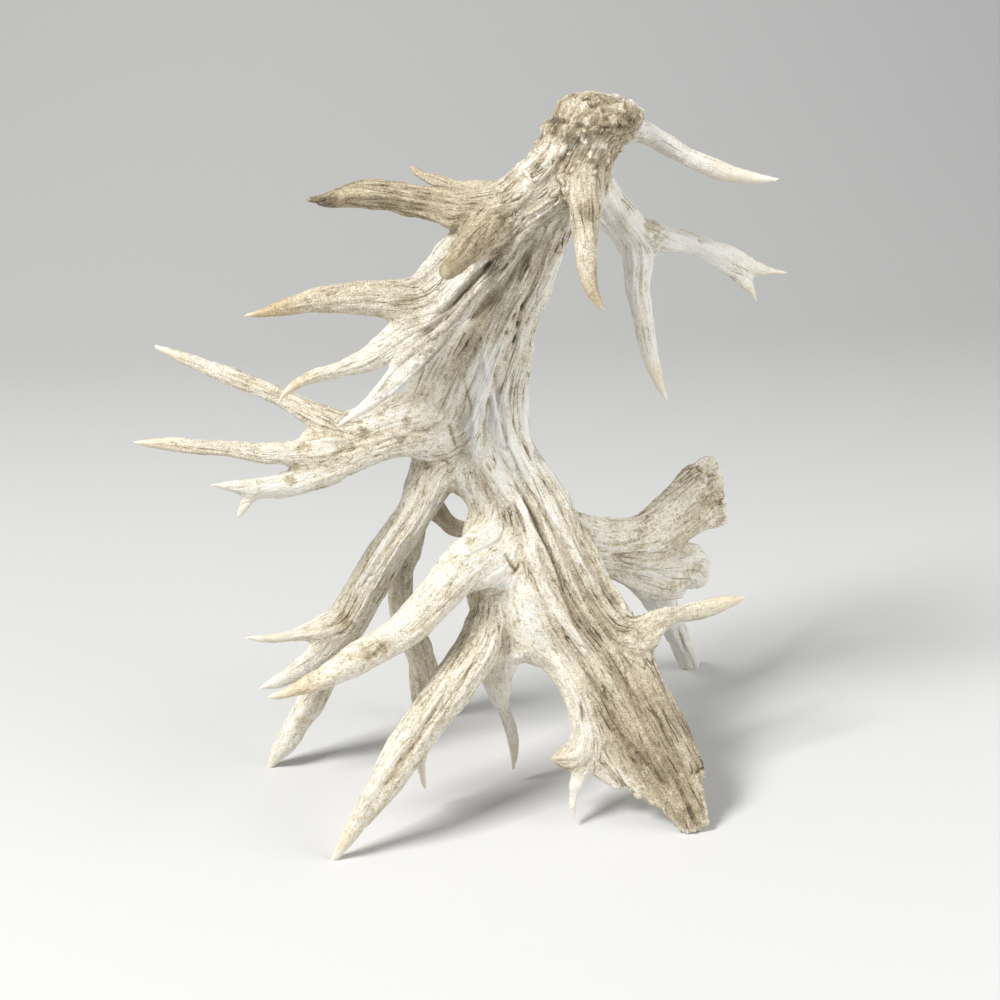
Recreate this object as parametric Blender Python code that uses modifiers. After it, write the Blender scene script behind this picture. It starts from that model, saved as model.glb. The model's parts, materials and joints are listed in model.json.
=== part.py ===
"""A shed whitetail deer antler with many points, standing on its lower tines with the burr at the top.

The antler grew as one piece. It is parted by thin kerfs at its main forks, so that each limb is
one object. Metres, +Z up, z = 0 is the surface that the antler stands on, and the origin is under
the middle of the antler. +X is the side of the brow tine, and -Y is the front.
"""
import math

import bmesh
import bpy
import numpy as np
from mathutils import Matrix, Vector

MM = 0.001

# Grain of the model, mm
VOXEL = 1.7
RING_STEP = 4.0
RING_POINTS = 20
RIB_STEP = 1.0
LUMP_GRAIN = 2

# Triangles of the whole before it is sawn
TRIANGLES = 8250

# Turns at which the rounded tip of a limb has its rings, radians
TIP_TURNS = (0.5, 1.0, 1.35)

# Fillets at the forks and the smoothing of the whole
FORK_PASSES = 60
FORK_RATE = 0.45
NORMAL_PASSES = 5
SMOOTH_PASSES = 4
SMOOTH_RATE = 0.4

# Kerf between two limbs, mm
KERF = 0.3

# The burr at the top of the beam: a crown of lumps, its depth as a part of its width, and the rough
# seal that lies on it, mm
BURR_CENTRE = (73.0, -29.0, 423.0)
BURR_AXIS = (-0.12, -0.08, 0.98)
BURR_RADIUS = 28.0
BURR_DEPTH = 0.8
BURR_LUMPS = 22
BURR_LUMP_SIZE = 3.6
BURR_LUMP_RISE = (-2.5, 0.5)
SEAL_CENTRE = (80.0, -29.0, 426.5)
SEAL_AXIS = (0.10, -0.10, 0.99)
SEAL_RADIUS = 25.0
SEAL_HEIGHT = 10.5
SEAL_SIDES = 24

# How far the lumps of the burr stray: part of a step around it, of its radius, of their size and
# of their length
BURR_STRAY = 0.3
BURR_REACH_RANGE = (0.92, 1.08)
BURR_SIZE_RANGE = (0.8, 1.25)
BURR_LENGTH_RANGE = (0.8, 1.5)

# Pearls: the small lumps on the beam under the burr, mm
PEARLS = 30
PEARL_SIZE = (1.8, 2.6)
PEARL_LENGTH = 1.5
PEARL_REACH = (4.6, 46.0)

# The one seed of all that is strewn
SEED = 7

# Points this close to a cut count as on it, mm
CUT_TOLERANCE = 0.0001

# Limbs, as rows of x, y, z, width and thickness in mm. The width lies across the limb as seen from
# the front, and the thickness from front to back.
BRANCHES = {
    "beam": (
        (78, -29, 425, 46, 42), (71, -29, 413, 43, 39), (64, -28, 401, 45, 38), (58, -25, 386, 43, 35),
    ),
    "trunk": (
        (62, -23, 394, 36, 33), (51, -14, 370, 33, 30), (38, -9, 342, 36, 31), (23, -7, 311, 43, 32),
        (12, -9, 283, 51, 33), (4, -13, 256, 61, 34), (4, -17, 231, 66, 33), (15, -22, 208, 58, 27),
        (29, -29, 184, 58, 24), (41, -37, 155, 66, 23), (57, -47, 124, 62, 19), (75, -59, 99, 57, 16),
        (89, -73, 74, 52, 14), (100, -85, 54, 57, 14), (111, -95, 35, 52, 10), (120, -102, 19, 31, 7),
        (128, -107, 1, 19, 7),
    ),
    "palm_front": (
        (16, -25, 194, 38, 19), (14, -37, 168, 53, 18), (19, -46, 141, 60, 18), (30, -52, 116, 50, 15),
        (41, -55, 99, 25, 10),
    ),
    "fan_sheet": (
        (57, -32, 395, 40, 32), (38, -38, 384, 37, 23), (25, -42, 374, 36, 18), (7, -48, 355, 37, 15),
        (-9, -52, 339, 38, 14), (-22, -54, 325, 38, 12), (-34, -55, 314, 29, 9),
    ),
    "trunk_web": (
        (49, -19, 375, 26, 13), (32, -19, 349, 31, 11), (14, -20, 320, 39, 12), (-4, -23, 291, 46, 14),
        (-18, -23, 265, 49, 16), (-21, -21, 243, 47, 19),
    ),
    "fan_tine_a": (
        (19, -45, 379, 26, 16), (0, -47, 378, 25, 16), (-17, -45, 382, 19, 15), (-35, -42, 385, 17, 14),
        (-58, -38, 388, 16, 13), (-71, -35, 387, 12, 10), (-83, -33, 385, 8, 7), (-90, -32, 385, 5, 5),
    ),
    "fan_spur_b": (
        (21, -33, 383, 17, 14), (8, -25, 386, 12, 10), (-5, -17, 388, 9, 8), (-14, -11, 390, 9, 8),
        (-24, -4, 393, 7, 6), (-32, 1, 398, 3, 3),
    ),
    "fan_tine_c": (
        (13, -47, 367, 26, 21), (6, -67, 364, 21, 19), (-1, -85, 360, 16, 16), (-6, -102, 356, 12, 12),
        (-9, -111, 355, 11, 11),
    ),
    "fan_tine_d": (
        (-17, -53, 328, 35, 12), (-36, -55, 329, 27, 13), (-59, -57, 332, 21, 14),
        (-83, -60, 332, 16, 13), (-106, -64, 329, 10, 9), (-117, -66, 327, 6, 6),
        (-127, -67, 326, 3, 3),
    ),
    "fan_tine_e": (
        (-24, -55, 318, 31, 11), (-40, -59, 308, 21, 10), (-60, -65, 297, 14, 10),
        (-79, -70, 292, 11, 9), (-94, -75, 289, 9, 8), (-105, -78, 284, 6, 6), (-111, -80, 277, 3, 3),
    ),
    "fan_tine_f": (
        (-4, -51, 327, 16, 11), (-18, -56, 310, 19, 10), (-32, -63, 295, 17, 9), (-44, -69, 285, 14, 9),
        (-56, -76, 276, 10, 8), (-67, -83, 270, 6, 6), (-77, -89, 265, 3, 3),
    ),
    "side_palm": (
        (0, -18, 241, 56, 28), (-23, -21, 244, 51, 23), (-46, -25, 245, 42, 18),
        (-71, -29, 238, 39, 16), (-90, -33, 233, 38, 14), (-102, -37, 232, 31, 11),
    ),
    "side_tine_a": (
        (-83, -31, 247, 21, 13), (-101, -29, 257, 16, 13), (-123, -23, 268, 12, 11),
        (-145, -17, 276, 12, 11), (-164, -12, 283, 10, 9), (-183, -8, 291, 7, 6), (-195, -6, 296, 3, 3),
    ),
    "side_tine_b": (
        (-88, -35, 234, 22, 13), (-110, -41, 235, 16, 13), (-129, -46, 237, 13, 12),
        (-151, -52, 243, 11, 10), (-169, -56, 246, 10, 9), (-189, -60, 250, 7, 7),
        (-201, -62, 252, 3, 3),
    ),
    "side_tine_c": (
        (-87, -35, 224, 26, 13), (-108, -43, 217, 18, 12), (-127, -50, 216, 15, 9),
        (-140, -55, 216, 14, 7),
    ),
    "side_prong_left": (
        (-133, -53, 217, 11, 8), (-148, -59, 221, 7, 6), (-158, -63, 224, 3, 3),
    ),
    "side_prong_down": (
        (-136, -54, 215, 10, 7), (-141, -57, 207, 7, 6), (-145, -58, 201, 3, 3),
    ),
    "left_leg": (
        (-17, -19, 224, 46, 23), (-29, -18, 206, 32, 23), (-37, -17, 189, 24, 21),
        (-52, -16, 168, 24, 21), (-65, -15, 149, 26, 23), (-76, -14, 131, 26, 23),
        (-87, -13, 112, 28, 22), (-101, -13, 96, 30, 20),
    ),
    "left_spur_a": (
        (-94, -16, 108, 22, 16), (-112, -22, 107, 14, 11), (-126, -27, 106, 9, 8),
        (-139, -32, 107, 7, 7), (-152, -37, 111, 3, 3),
    ),
    "left_spur_b": (
        (-99, -18, 97, 22, 16), (-113, -28, 88, 17, 12), (-126, -34, 82, 14, 9), (-137, -39, 79, 9, 7),
        (-146, -43, 77, 3, 3),
    ),
    "left_foot": (
        (-100, -12, 92, 28, 18), (-109, -11, 69, 21, 17), (-120, -10, 47, 19, 16),
        (-133, -9, 27, 17, 14), (-145, -9, 9, 10, 10), (-151, -9, 0, 5, 5),
    ),
    "rear_tine": (
        (-32, -9, 190, 18, 14), (-26, 3, 175, 14, 13), (-18, 13, 162, 12, 11), (-10, 21, 157, 10, 10),
        (6, 33, 147, 7, 7), (21, 43, 134, 3, 3),
    ),
    "rear_branch": (
        (-42, -13, 178, 19, 15), (-47, -1, 156, 18, 15), (-53, 13, 133, 17, 15), (-56, 25, 107, 18, 15),
        (-53, 35, 82, 20, 16), (-47, 42, 55, 21, 13), (-46, 47, 29, 22, 12), (-46, 51, 9, 16, 10),
        (-47, 52, -1, 9, 7),
    ),
    "long_tine": (
        (30, -34, 170, 60, 8), (10, -45, 167, 46, 14), (-10, -60, 162, 32, 20), (-26, -75, 151, 25, 21),
        (-44, -88, 137, 23, 20), (-62, -99, 130, 20, 17), (-80, -108, 124, 18, 16),
        (-98, -115, 117, 14, 12), (-113, -119, 113, 8, 8), (-125, -121, 111, 4, 4),
    ),
    "front_leg": (
        (8, -43, 141, 21, 15), (2, -55, 128, 22, 18), (-3, -68, 114, 29, 21), (-15, -81, 101, 28, 23),
        (-29, -93, 86, 26, 23), (-46, -105, 68, 25, 22), (-62, -114, 47, 21, 18),
        (-76, -119, 28, 15, 14), (-88, -122, 11, 9, 8), (-96, -123, 0, 5, 5),
    ),
    "front_leg_spur": (
        (-34, -95, 77, 17, 12), (-41, -89, 55, 11, 8), (-42, -82, 36, 7, 6), (-41, -76, 18, 3, 3),
    ),
    "hanging_tine": (
        (9, -61, 107, 35, 14), (7, -55, 86, 22, 13), (9, -51, 68, 13, 11), (14, -47, 48, 9, 8),
        (17, -44, 27, 7, 7), (16, -42, 10, 3, 3),
    ),
    "knobbed_branch": (
        (39, -51, 104, 23, 14), (49, -59, 87, 17, 13), (57, -71, 74, 16, 13), (60, -80, 59, 17, 13),
        (61, -86, 46, 22, 16),
    ),
    "knob": (
        (65, -85, 44, 19, 13), (52, -88, 44, 19, 15), (43, -90, 45, 9, 8),
    ),
    "knob_tine": (
        (60, -88, 41, 14, 12), (55, -92, 28, 9, 8), (52, -95, 15, 6, 6), (53, -97, 5, 3, 3),
    ),
    "blade_lip": (
        (59, -86, 45, 16, 10), (71, -88, 36, 15, 8), (83, -91, 26, 14, 6),
    ),
    "right_tine": (
        (92, -59, 106, 31, 13), (105, -54, 115, 21, 10), (117, -47, 119, 15, 11),
        (131, -40, 118, 13, 11), (145, -34, 118, 12, 11), (159, -28, 119, 9, 9), (171, -22, 119, 3, 3),
    ),
    "rear_lobe": (
        (59, -27, 162, 45, 22), (81, -7, 153, 36, 18), (106, 15, 147, 36, 15), (128, 37, 151, 38, 14),
        (144, 57, 154, 44, 13), (157, 71, 157, 50, 12), (171, 83, 156, 52, 10),
    ),
    "rear_wedge": (
        (76, -11, 152, 30, 15), (100, 9, 133, 32, 15), (123, 29, 117, 40, 15), (143, 43, 113, 38, 12),
        (154, 52, 100, 17, 8),
    ),
    "rear_leg": (
        (113, 27, 114, 31, 19), (123, 47, 90, 25, 18), (133, 69, 64, 20, 16), (143, 91, 39, 18, 16),
        (152, 112, 13, 17, 15), (156, 121, -1, 15, 14),
    ),
    "front_tine": (
        (67, -41, 394, 25, 20), (68, -52, 382, 20, 17), (68, -59, 370, 17, 16), (68, -66, 357, 14, 13),
        (68, -71, 342, 11, 11), (72, -74, 330, 7, 7), (76, -76, 323, 3, 3),
    ),
    "brow_tine": (
        (87, -22, 419, 20, 18), (104, -17, 415, 15, 13), (117, -15, 408, 14, 13),
        (138, -11, 396, 13, 12), (157, -8, 388, 11, 10), (175, -6, 384, 7, 7), (187, -5, 383, 3, 3),
    ),
    "back_stem": (
        (75, -19, 390, 23, 19), (84, -11, 379, 18, 16), (93, -5, 367, 17, 16), (104, 1, 354, 22, 18),
    ),
    "back_rib": (
        (79, -7, 368, 11, 8), (88, 0, 356, 7, 6), (97, 4, 343, 10, 8),
    ),
    "back_long_tine": (
        (104, 1, 353, 22, 18), (105, 5, 336, 19, 16), (104, 8, 321, 16, 15), (108, 11, 300, 14, 12),
        (112, 13, 277, 12, 11), (118, 15, 257, 8, 8), (124, 16, 243, 3, 3),
    ),
    "back_right_tine": (
        (105, 1, 354, 21, 17), (121, 5, 349, 18, 15), (136, 9, 345, 15, 13), (151, 13, 338, 15, 12),
        (166, 16, 330, 18, 9), (175, 18, 326, 15, 6),
    ),
    "back_prong_out": (
        (170, 17, 328, 14, 7), (187, 20, 324, 6, 5), (201, 22, 321, 3, 3),
    ),
    "back_prong_down": (
        (168, 17, 325, 14, 7), (176, 18, 314, 8, 6), (181, 19, 305, 3, 3),
    ),
}

# Seen from here a limb shows its width. A limb that points to the front is seen from above instead.
FRONT = (0.0, -1.0, 0.3)
ABOVE = (0.0, 0.2, 1.0)
SEEN_FROM_ABOVE = ("fan_tine_c",)

# Limbs that end in a break and not in a rounded tip
BROKEN = ("trunk", "rear_lobe", "rear_leg")

# Ribs and furrows that run down the front of a limb: limb, start and end along it (0 to 1), place
# across it at both ends (-1 is the left edge and 1 the right edge), width and height in mm
RIBS = (
    ("trunk", 0.10, 0.98, 0.62, 0.66, 15.0, 2.6),
    ("trunk", 0.20, 0.92, 0.22, 0.12, 8.0, -2.4),
    ("trunk", 0.18, 0.90, -0.02, -0.30, 9.0, 3.0),
    ("trunk", 0.30, 0.90, 0.42, 0.38, 7.0, -1.8),
    ("trunk", 0.20, 0.52, -0.30, -0.45, 9.0, -2.0),
    ("trunk_web", 0.15, 0.90, 0.10, 0.40, 8.0, 2.0),
    ("trunk_web", 0.15, 0.90, -0.25, 0.05, 7.0, -1.6),
    ("fan_sheet", 0.05, 0.98, 0.80, 0.80, 8.0, 2.2),
    ("fan_sheet", 0.05, 0.98, 0.55, 0.52, 7.0, -1.8),
    ("fan_sheet", 0.10, 0.98, 0.28, 0.20, 8.0, 1.6),
    ("left_leg", 0.10, 0.95, 0.30, 0.35, 7.0, 1.5),
    ("left_leg", 0.10, 0.95, -0.15, -0.10, 7.0, -1.5),
    ("front_leg", 0.30, 0.88, 0.05, 0.05, 7.0, -1.4),
    ("front_leg", 0.30, 0.88, -0.40, -0.40, 8.0, 1.2),
    ("side_palm", 0.10, 0.90, 0.10, 0.10, 9.0, -1.4),
)

# The way across a fork, where the kerf doesn't lie square to a limb: rows as for the limbs
FORK_WAYS = {
    "front_leg_fork": ((16, -59, 116, 60, 20), (-9, -59, 98, 60, 20)),
}

# Kerfs at the main forks: limb or fork, place along it (0 to 1), and the cut's length across the
# limb and front to back in mm
KERFS = (
    ("brow_tine", 0.20, 40, 40),
    ("front_tine", 0.30, 34, 30),
    ("back_stem", 0.45, 40, 44),
    ("trunk", 0.13, 70, 50),
    ("side_palm", 0.44, 52, 40),
    ("left_leg", 0.15, 36, 50),
    ("rear_branch", 0.27, 34, 34),
    ("long_tine", 0.30, 34, 40),
    ("front_leg_fork", 0.5, 68, 70),
    ("right_tine", 0.36, 40, 30),
    ("rear_lobe", 0.26, 66, 60),
)

# Objects: name, and a limb and a place along it that lie inside the object
PIECES = (
    ("beam_and_upper_fan", "beam", 0.5),
    ("brow_tine", "brow_tine", 0.6),
    ("front_tine", "front_tine", 0.7),
    ("forked_back_tine", "back_long_tine", 0.5),
    ("trunk_and_blade", "trunk", 0.6),
    ("side_palm", "side_palm", 0.9),
    ("left_leg", "left_leg", 0.8),
    ("rear_branch", "rear_branch", 0.7),
    ("long_tine", "long_tine", 0.6),
    ("front_leg", "front_leg", 0.7),
    ("right_tine", "right_tine", 0.7),
    ("rear_lobe", "rear_lobe", 0.7),
)

# Colour and roughness of the bone, from pale worn tines to the brown burr
BONE_COLOURS = {
    "beam_and_upper_fan": (0.62, 0.53, 0.40),
    "brow_tine": (0.66, 0.62, 0.55),
    "front_tine": (0.60, 0.48, 0.30),
    "forked_back_tine": (0.66, 0.61, 0.52),
    "trunk_and_blade": (0.64, 0.57, 0.46),
    "side_palm": (0.60, 0.50, 0.36),
    "left_leg": (0.60, 0.52, 0.40),
    "rear_branch": (0.45, 0.38, 0.30),
    "long_tine": (0.70, 0.63, 0.50),
    "front_leg": (0.70, 0.64, 0.53),
    "right_tine": (0.66, 0.59, 0.46),
    "rear_lobe": (0.62, 0.55, 0.43),
}
BONE_ROUGHNESS = 0.7


def clear_scene():
    """Remove everything that is in the scene."""
    for thing in list(bpy.data.objects):
        bpy.data.objects.remove(thing, do_unlink=True)


def resample(rows, step):
    """Smooth rows through the given rows, about one step apart."""
    rows = np.array(rows, dtype=float)
    steps = np.linalg.norm(np.diff(rows[:, :3], axis=0), axis=1)
    along = np.concatenate(([0.0], np.cumsum(steps)))
    slopes = np.gradient(rows, along, axis=0)
    count = max(3, int(round(along[-1] / step)) + 1)
    places = np.linspace(0.0, along[-1], count)
    start = np.clip(np.searchsorted(along, places, side="right") - 1, 0, len(rows) - 2)
    span = (along[start + 1] - along[start])[:, None]
    u = (places - along[start])[:, None] / span
    return ((2 * u**3 - 3 * u**2 + 1) * rows[start] + (u**3 - 2 * u**2 + u) * span * slopes[start]
            + (3 * u**2 - 2 * u**3) * rows[start + 1] + (u**3 - u**2) * span * slopes[start + 1])


def unit(vectors):
    """The vectors at length one."""
    return vectors / np.linalg.norm(vectors, axis=-1, keepdims=True)


def limb_frame(name):
    """Smooth rows of a limb, and the directions along it, across it and out of its front."""
    rows = resample(BRANCHES[name] if name in BRANCHES else FORK_WAYS[name], RING_STEP)
    ahead = unit(np.gradient(rows[:, :3], axis=0))
    seen = np.array(ABOVE if name in SEEN_FROM_ABOVE else FRONT)
    across = unit(np.cross(ahead, seen))
    if across[:, 0].sum() < 0:
        across = -across
    out = unit(np.cross(across, ahead))
    if (out @ seen).sum() < 0:
        out = -out
    return rows, ahead, across, out


def loft(work, rows, ahead, across, out, broken=False):
    """Add a closed body through elliptical rings, with rounded ends."""
    rings = [(row[:3], row[3] / 2, row[4] / 2) for row in rows]
    if not broken:
        tip = rings[-1]
        reach = min(tip[1], tip[2])
        for angle in TIP_TURNS:
            centre = tip[0] + ahead[-1] * reach * math.sin(angle)
            rings.append((centre, tip[1] * math.cos(angle), tip[2] * math.cos(angle)))
    loops = []
    for index, (centre, half_width, half_depth) in enumerate(rings):
        at = min(index, len(rows) - 1)
        loop = []
        for k in range(RING_POINTS):
            turn = 2 * math.pi * k / RING_POINTS
            point = centre + across[at] * half_width * math.cos(turn) + out[at] * half_depth * math.sin(turn)
            loop.append(work.verts.new(point))
        loops.append(loop)
    faces = []
    for near, far in zip(loops, loops[1:]):
        for k in range(RING_POINTS):
            m = (k + 1) % RING_POINTS
            faces.append(work.faces.new((near[k], near[m], far[m], far[k])))
    faces.append(work.faces.new(loops[0]))
    faces.append(work.faces.new(loops[-1]))
    bmesh.ops.recalc_face_normals(work, faces=faces)


def add_lump(work, centre, radius, stretch):
    """Add a rounded lump, stretched along X, Y and Z."""
    place = Matrix.Translation(centre) @ Matrix.Diagonal((*stretch, 1.0))
    bmesh.ops.create_icosphere(work, subdivisions=LUMP_GRAIN, radius=radius, matrix=place)


def add_burr(work, chance):
    """Add the rough seal and the crown of lumps around it."""
    axis = Vector(BURR_AXIS).normalized()
    turned = axis.to_track_quat("Z", "Y").to_matrix().to_4x4()
    level = Vector(SEAL_AXIS).to_track_quat("Z", "Y").to_matrix().to_4x4()
    centre = Vector(BURR_CENTRE)
    flat = Matrix.Diagonal((1.0, 1.0, SEAL_HEIGHT / SEAL_RADIUS, 1.0))
    seal = Matrix.Translation(SEAL_CENTRE) @ level @ flat
    bmesh.ops.create_uvsphere(work, u_segments=SEAL_SIDES, v_segments=SEAL_SIDES // 2, radius=SEAL_RADIUS,
                              matrix=seal)
    for k in range(BURR_LUMPS):
        turn = 2 * math.pi * (k + BURR_STRAY * chance.uniform(-1, 1)) / BURR_LUMPS
        reach = BURR_RADIUS * chance.uniform(*BURR_REACH_RANGE)
        rise = chance.uniform(*BURR_LUMP_RISE)
        place = turned @ Vector((reach * math.cos(turn), reach * BURR_DEPTH * math.sin(turn), rise))
        size = BURR_LUMP_SIZE * chance.uniform(*BURR_SIZE_RANGE)
        add_lump(work, centre + place, size, (1.0, 1.0, chance.uniform(*BURR_LENGTH_RANGE)))


def add_pearls(work, chance):
    """Add the pearls on the beam below the burr."""
    rows, ahead, across, out = limb_frame("beam")
    steps = np.linalg.norm(rows[:, :3] - rows[0, :3], axis=1)
    for k in range(PEARLS):
        reach = chance.uniform(*PEARL_REACH)
        at = int(np.argmin(abs(steps - reach)))
        turn = chance.uniform(0.0, 2 * math.pi)
        point = (rows[at, :3] + across[at] * math.cos(turn) * rows[at, 3] / 2
                 + out[at] * math.sin(turn) * rows[at, 4] / 2)
        add_lump(work, Vector(point), chance.uniform(*PEARL_SIZE), (1.0, 1.0, PEARL_LENGTH))


def make_object(name, mesh, collection):
    """Add an object for a mesh."""
    thing = bpy.data.objects.new(name, mesh)
    collection.objects.link(thing)
    return thing


def apply_modifiers(thing):
    """Replace an object's mesh by what its modifiers make of it."""
    bpy.context.view_layer.update()
    evaluated = thing.evaluated_get(bpy.context.evaluated_depsgraph_get())
    mesh = bpy.data.meshes.new_from_object(evaluated)
    thing.modifiers.clear()
    thing.data = mesh


def build_body(collection):
    """Fuse all limbs and lumps into one closed body, in mm."""
    chance = np.random.default_rng(SEED)
    work = bmesh.new()
    for name in BRANCHES:
        loft(work, *limb_frame(name), broken=name in BROKEN)
    add_burr(work, chance)
    add_pearls(work, chance)
    mesh = bpy.data.meshes.new("antler")
    work.to_mesh(mesh)
    work.free()
    body = make_object("antler", mesh, collection)
    remesh = body.modifiers.new("fuse", "REMESH")
    remesh.mode = "VOXEL"
    remesh.voxel_size = VOXEL
    apply_modifiers(body)
    return body


def read_mesh(mesh):
    """Points and edges of a mesh as arrays."""
    points = np.empty(len(mesh.vertices) * 3, dtype=np.float32)
    mesh.vertices.foreach_get("co", points)
    edges = np.empty(len(mesh.edges) * 2, dtype=np.int32)
    mesh.edges.foreach_get("vertices", edges)
    return points.reshape(-1, 3).astype(float), edges.reshape(-1, 2)


def write_points(mesh, points):
    """Move the points of a mesh."""
    mesh.vertices.foreach_set("co", points.astype(np.float32).ravel())
    mesh.update()


def toward_neighbours(points, edges):
    """For each point, the way to the middle of its neighbours."""
    count = len(points)
    total = np.zeros_like(points)
    degree = np.bincount(edges.ravel(), minlength=count).astype(float)
    for axis in range(3):
        values = points[:, axis]
        total[:, axis] = (np.bincount(edges[:, 0], weights=values[edges[:, 1]], minlength=count)
                          + np.bincount(edges[:, 1], weights=values[edges[:, 0]], minlength=count))
    return total / degree[:, None] - points


def point_normals(mesh):
    """The normals at the points of a mesh."""
    normals = np.empty(len(mesh.vertices) * 3, dtype=np.float32)
    mesh.vertex_normals.foreach_get("vector", normals)
    return normals.reshape(-1, 3).astype(float)


def fill_forks(body):
    """Fill the hollow corners at the forks."""
    points, edges = read_mesh(body.data)
    for k in range(FORK_PASSES):
        if k % NORMAL_PASSES == 0:
            write_points(body.data, points)
            normals = point_normals(body.data)
        hollow = (toward_neighbours(points, edges) * normals).sum(axis=1)
        points = points + normals * (np.clip(hollow, 0.0, None) * FORK_RATE)[:, None]
    write_points(body.data, points)


def rib_line(rib):
    """Points down the middle of a rib, the way out of the limb there, and its height."""
    name, start, end, place_start, place_end, width, height = rib
    rows, ahead, across, out = limb_frame(name)
    along = np.linspace(0.0, 1.0, len(rows))
    length = np.linalg.norm(np.diff(rows[:, :3], axis=0), axis=1).sum()
    u = np.linspace(0.0, 1.0, int(length * (end - start) / RIB_STEP) + 2)
    at = start + (end - start) * u
    place = place_start + (place_end - place_start) * u
    columns = np.hstack((rows, across, out))
    values = np.stack([np.interp(at, along, column) for column in columns.T], axis=1)
    middle, sizes, across, out = values[:, :3], values[:, 3:5] / 2, values[:, 5:8], values[:, 8:]
    side = (place * sizes[:, 0])[:, None]
    rise = (np.sqrt(1 - place**2) * sizes[:, 1])[:, None]
    return middle + across * side + out * rise, out, height * np.sin(np.pi * u)**0.5


def raise_ribs(body):
    """Raise the ribs and sink the furrows."""
    points, edges = read_mesh(body.data)
    normals = point_normals(body.data)
    lift = np.zeros(len(points))
    for rib in RIBS:
        line, out, height = rib_line(rib)
        width = rib[5]
        low, high = line.min(axis=0) - width, line.max(axis=0) + width
        close = np.nonzero(((points > low) & (points < high)).all(axis=1))[0]
        ways = points[close, None, :] - line[None, :, :]
        gaps = np.sqrt((ways**2).sum(axis=2))
        nearest = gaps.argmin(axis=1)
        gap = gaps[np.arange(len(close)), nearest]
        facing = np.clip((normals[close] * out[nearest]).sum(axis=1), 0.0, 1.0)
        lift[close] += height[nearest] * np.exp(-2 * (2 * gap / width)**2) * facing
    write_points(body.data, points + normals * lift[:, None])


def smooth(body):
    """Smooth the whole a little."""
    points, edges = read_mesh(body.data)
    for k in range(SMOOTH_PASSES):
        points = points + toward_neighbours(points, edges) * SMOOTH_RATE
    write_points(body.data, points)


def wear_feet(body):
    """Cut the feet off flat at z = 0."""
    work = bmesh.new()
    work.from_mesh(body.data)
    everything = work.verts[:] + work.edges[:] + work.faces[:]
    bmesh.ops.bisect_plane(work, geom=everything, dist=CUT_TOLERANCE, plane_co=(0, 0, 0),
                           plane_no=(0, 0, -1), clear_outer=True)
    bmesh.ops.holes_fill(work, edges=[e for e in work.edges if e.is_boundary], sides=0)
    bmesh.ops.triangulate(work, faces=work.faces[:])
    work.to_mesh(body.data)
    work.free()


def reduce_faces(body):
    """Keep the triangles that the shape needs."""
    decimate = body.modifiers.new("reduce", "DECIMATE")
    decimate.ratio = TRIANGLES / (2 * len(body.data.polygons))
    apply_modifiers(body)


def add_kerf(collection, kerf):
    """Add the thin slab of one cut."""
    name, place, across_length, through_length = kerf
    rows, ahead, across, out = limb_frame(name)
    at = int(round(place * (len(rows) - 1)))
    turned = Matrix((across[at], out[at], ahead[at])).transposed().to_4x4()
    centre = Vector(rows[at, :3])
    bpy.ops.mesh.primitive_cube_add(size=1.0)
    slab = bpy.context.object
    slab.name = "kerf_" + name
    size = Matrix.Diagonal((across_length, through_length, KERF, 1.0))
    slab.data.transform(Matrix.Translation(centre) @ turned @ size)
    if slab.data.polygons[0].normal.dot(slab.data.polygons[0].center - centre) < 0:
        slab.data.flip_normals()
    for old in slab.users_collection:
        old.objects.unlink(slab)
    collection.objects.link(slab)
    slab.hide_render = True
    slab.display_type = "WIRE"
    return slab


def saw(body, cutters):
    """Part the body at its main forks."""
    for kerf in KERFS:
        slab = add_kerf(cutters, kerf)
        boolean = body.modifiers.new(slab.name, "BOOLEAN")
        boolean.operation = "DIFFERENCE"
        boolean.object = slab
        boolean.solver = "EXACT"
    apply_modifiers(body)


def loose_parts(mesh):
    """The faces of each separate part of a mesh."""
    work = bmesh.new()
    work.from_mesh(mesh)
    work.faces.ensure_lookup_table()
    seen = set()
    parts = []
    for start in work.faces:
        if start.index in seen:
            continue
        part = []
        waiting = [start]
        seen.add(start.index)
        while waiting:
            face = waiting.pop()
            part.append(face.index)
            for edge in face.edges:
                for other in edge.link_faces:
                    if other.index not in seen:
                        seen.add(other.index)
                        waiting.append(other)
        parts.append(sorted(part))
    work.free()
    return parts


def make_material(name, colour):
    """A dull bone material."""
    material = bpy.data.materials.new(name)
    material.use_nodes = True
    shader = material.node_tree.nodes["Principled BSDF"]
    shader.inputs["Base Color"].default_value = (*colour, 1.0)
    shader.inputs["Roughness"].default_value = BONE_ROUGHNESS
    shader.inputs["Metallic"].default_value = 0.0
    return material


def split_pieces(body, collection):
    """Make one named object of each part of the sawn body, in metres."""
    parts = loose_parts(body.data)
    if len(parts) != len(PIECES):
        raise RuntimeError("the kerfs leave %d parts, not %d" % (len(parts), len(PIECES)))
    clouds = []
    bodies = []
    for part in parts:
        work = bmesh.new()
        work.from_mesh(body.data)
        keep = set(part)
        bmesh.ops.delete(work, geom=[f for f in work.faces if f.index not in keep], context="FACES")
        bmesh.ops.triangulate(work, faces=work.faces[:])
        bodies.append(work)
        clouds.append(np.array([v.co[:] for v in work.verts]))
    for name, limb, place in PIECES:
        rows = limb_frame(limb)[0]
        point = rows[int(place * (len(rows) - 1)), :3]
        nearest = min(range(len(parts)), key=lambda k: np.linalg.norm(clouds[k] - point, axis=1).min())
        work = bodies[nearest]
        mesh = bpy.data.meshes.new(name)
        bmesh.ops.transform(work, matrix=Matrix.Scale(MM, 4), verts=work.verts[:])
        work.to_mesh(mesh)
        work.free()
        mesh.materials.append(make_material(name + "_bone", BONE_COLOURS[name]))
        make_object(name, mesh, collection)
    bpy.data.objects.remove(body, do_unlink=True)


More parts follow.
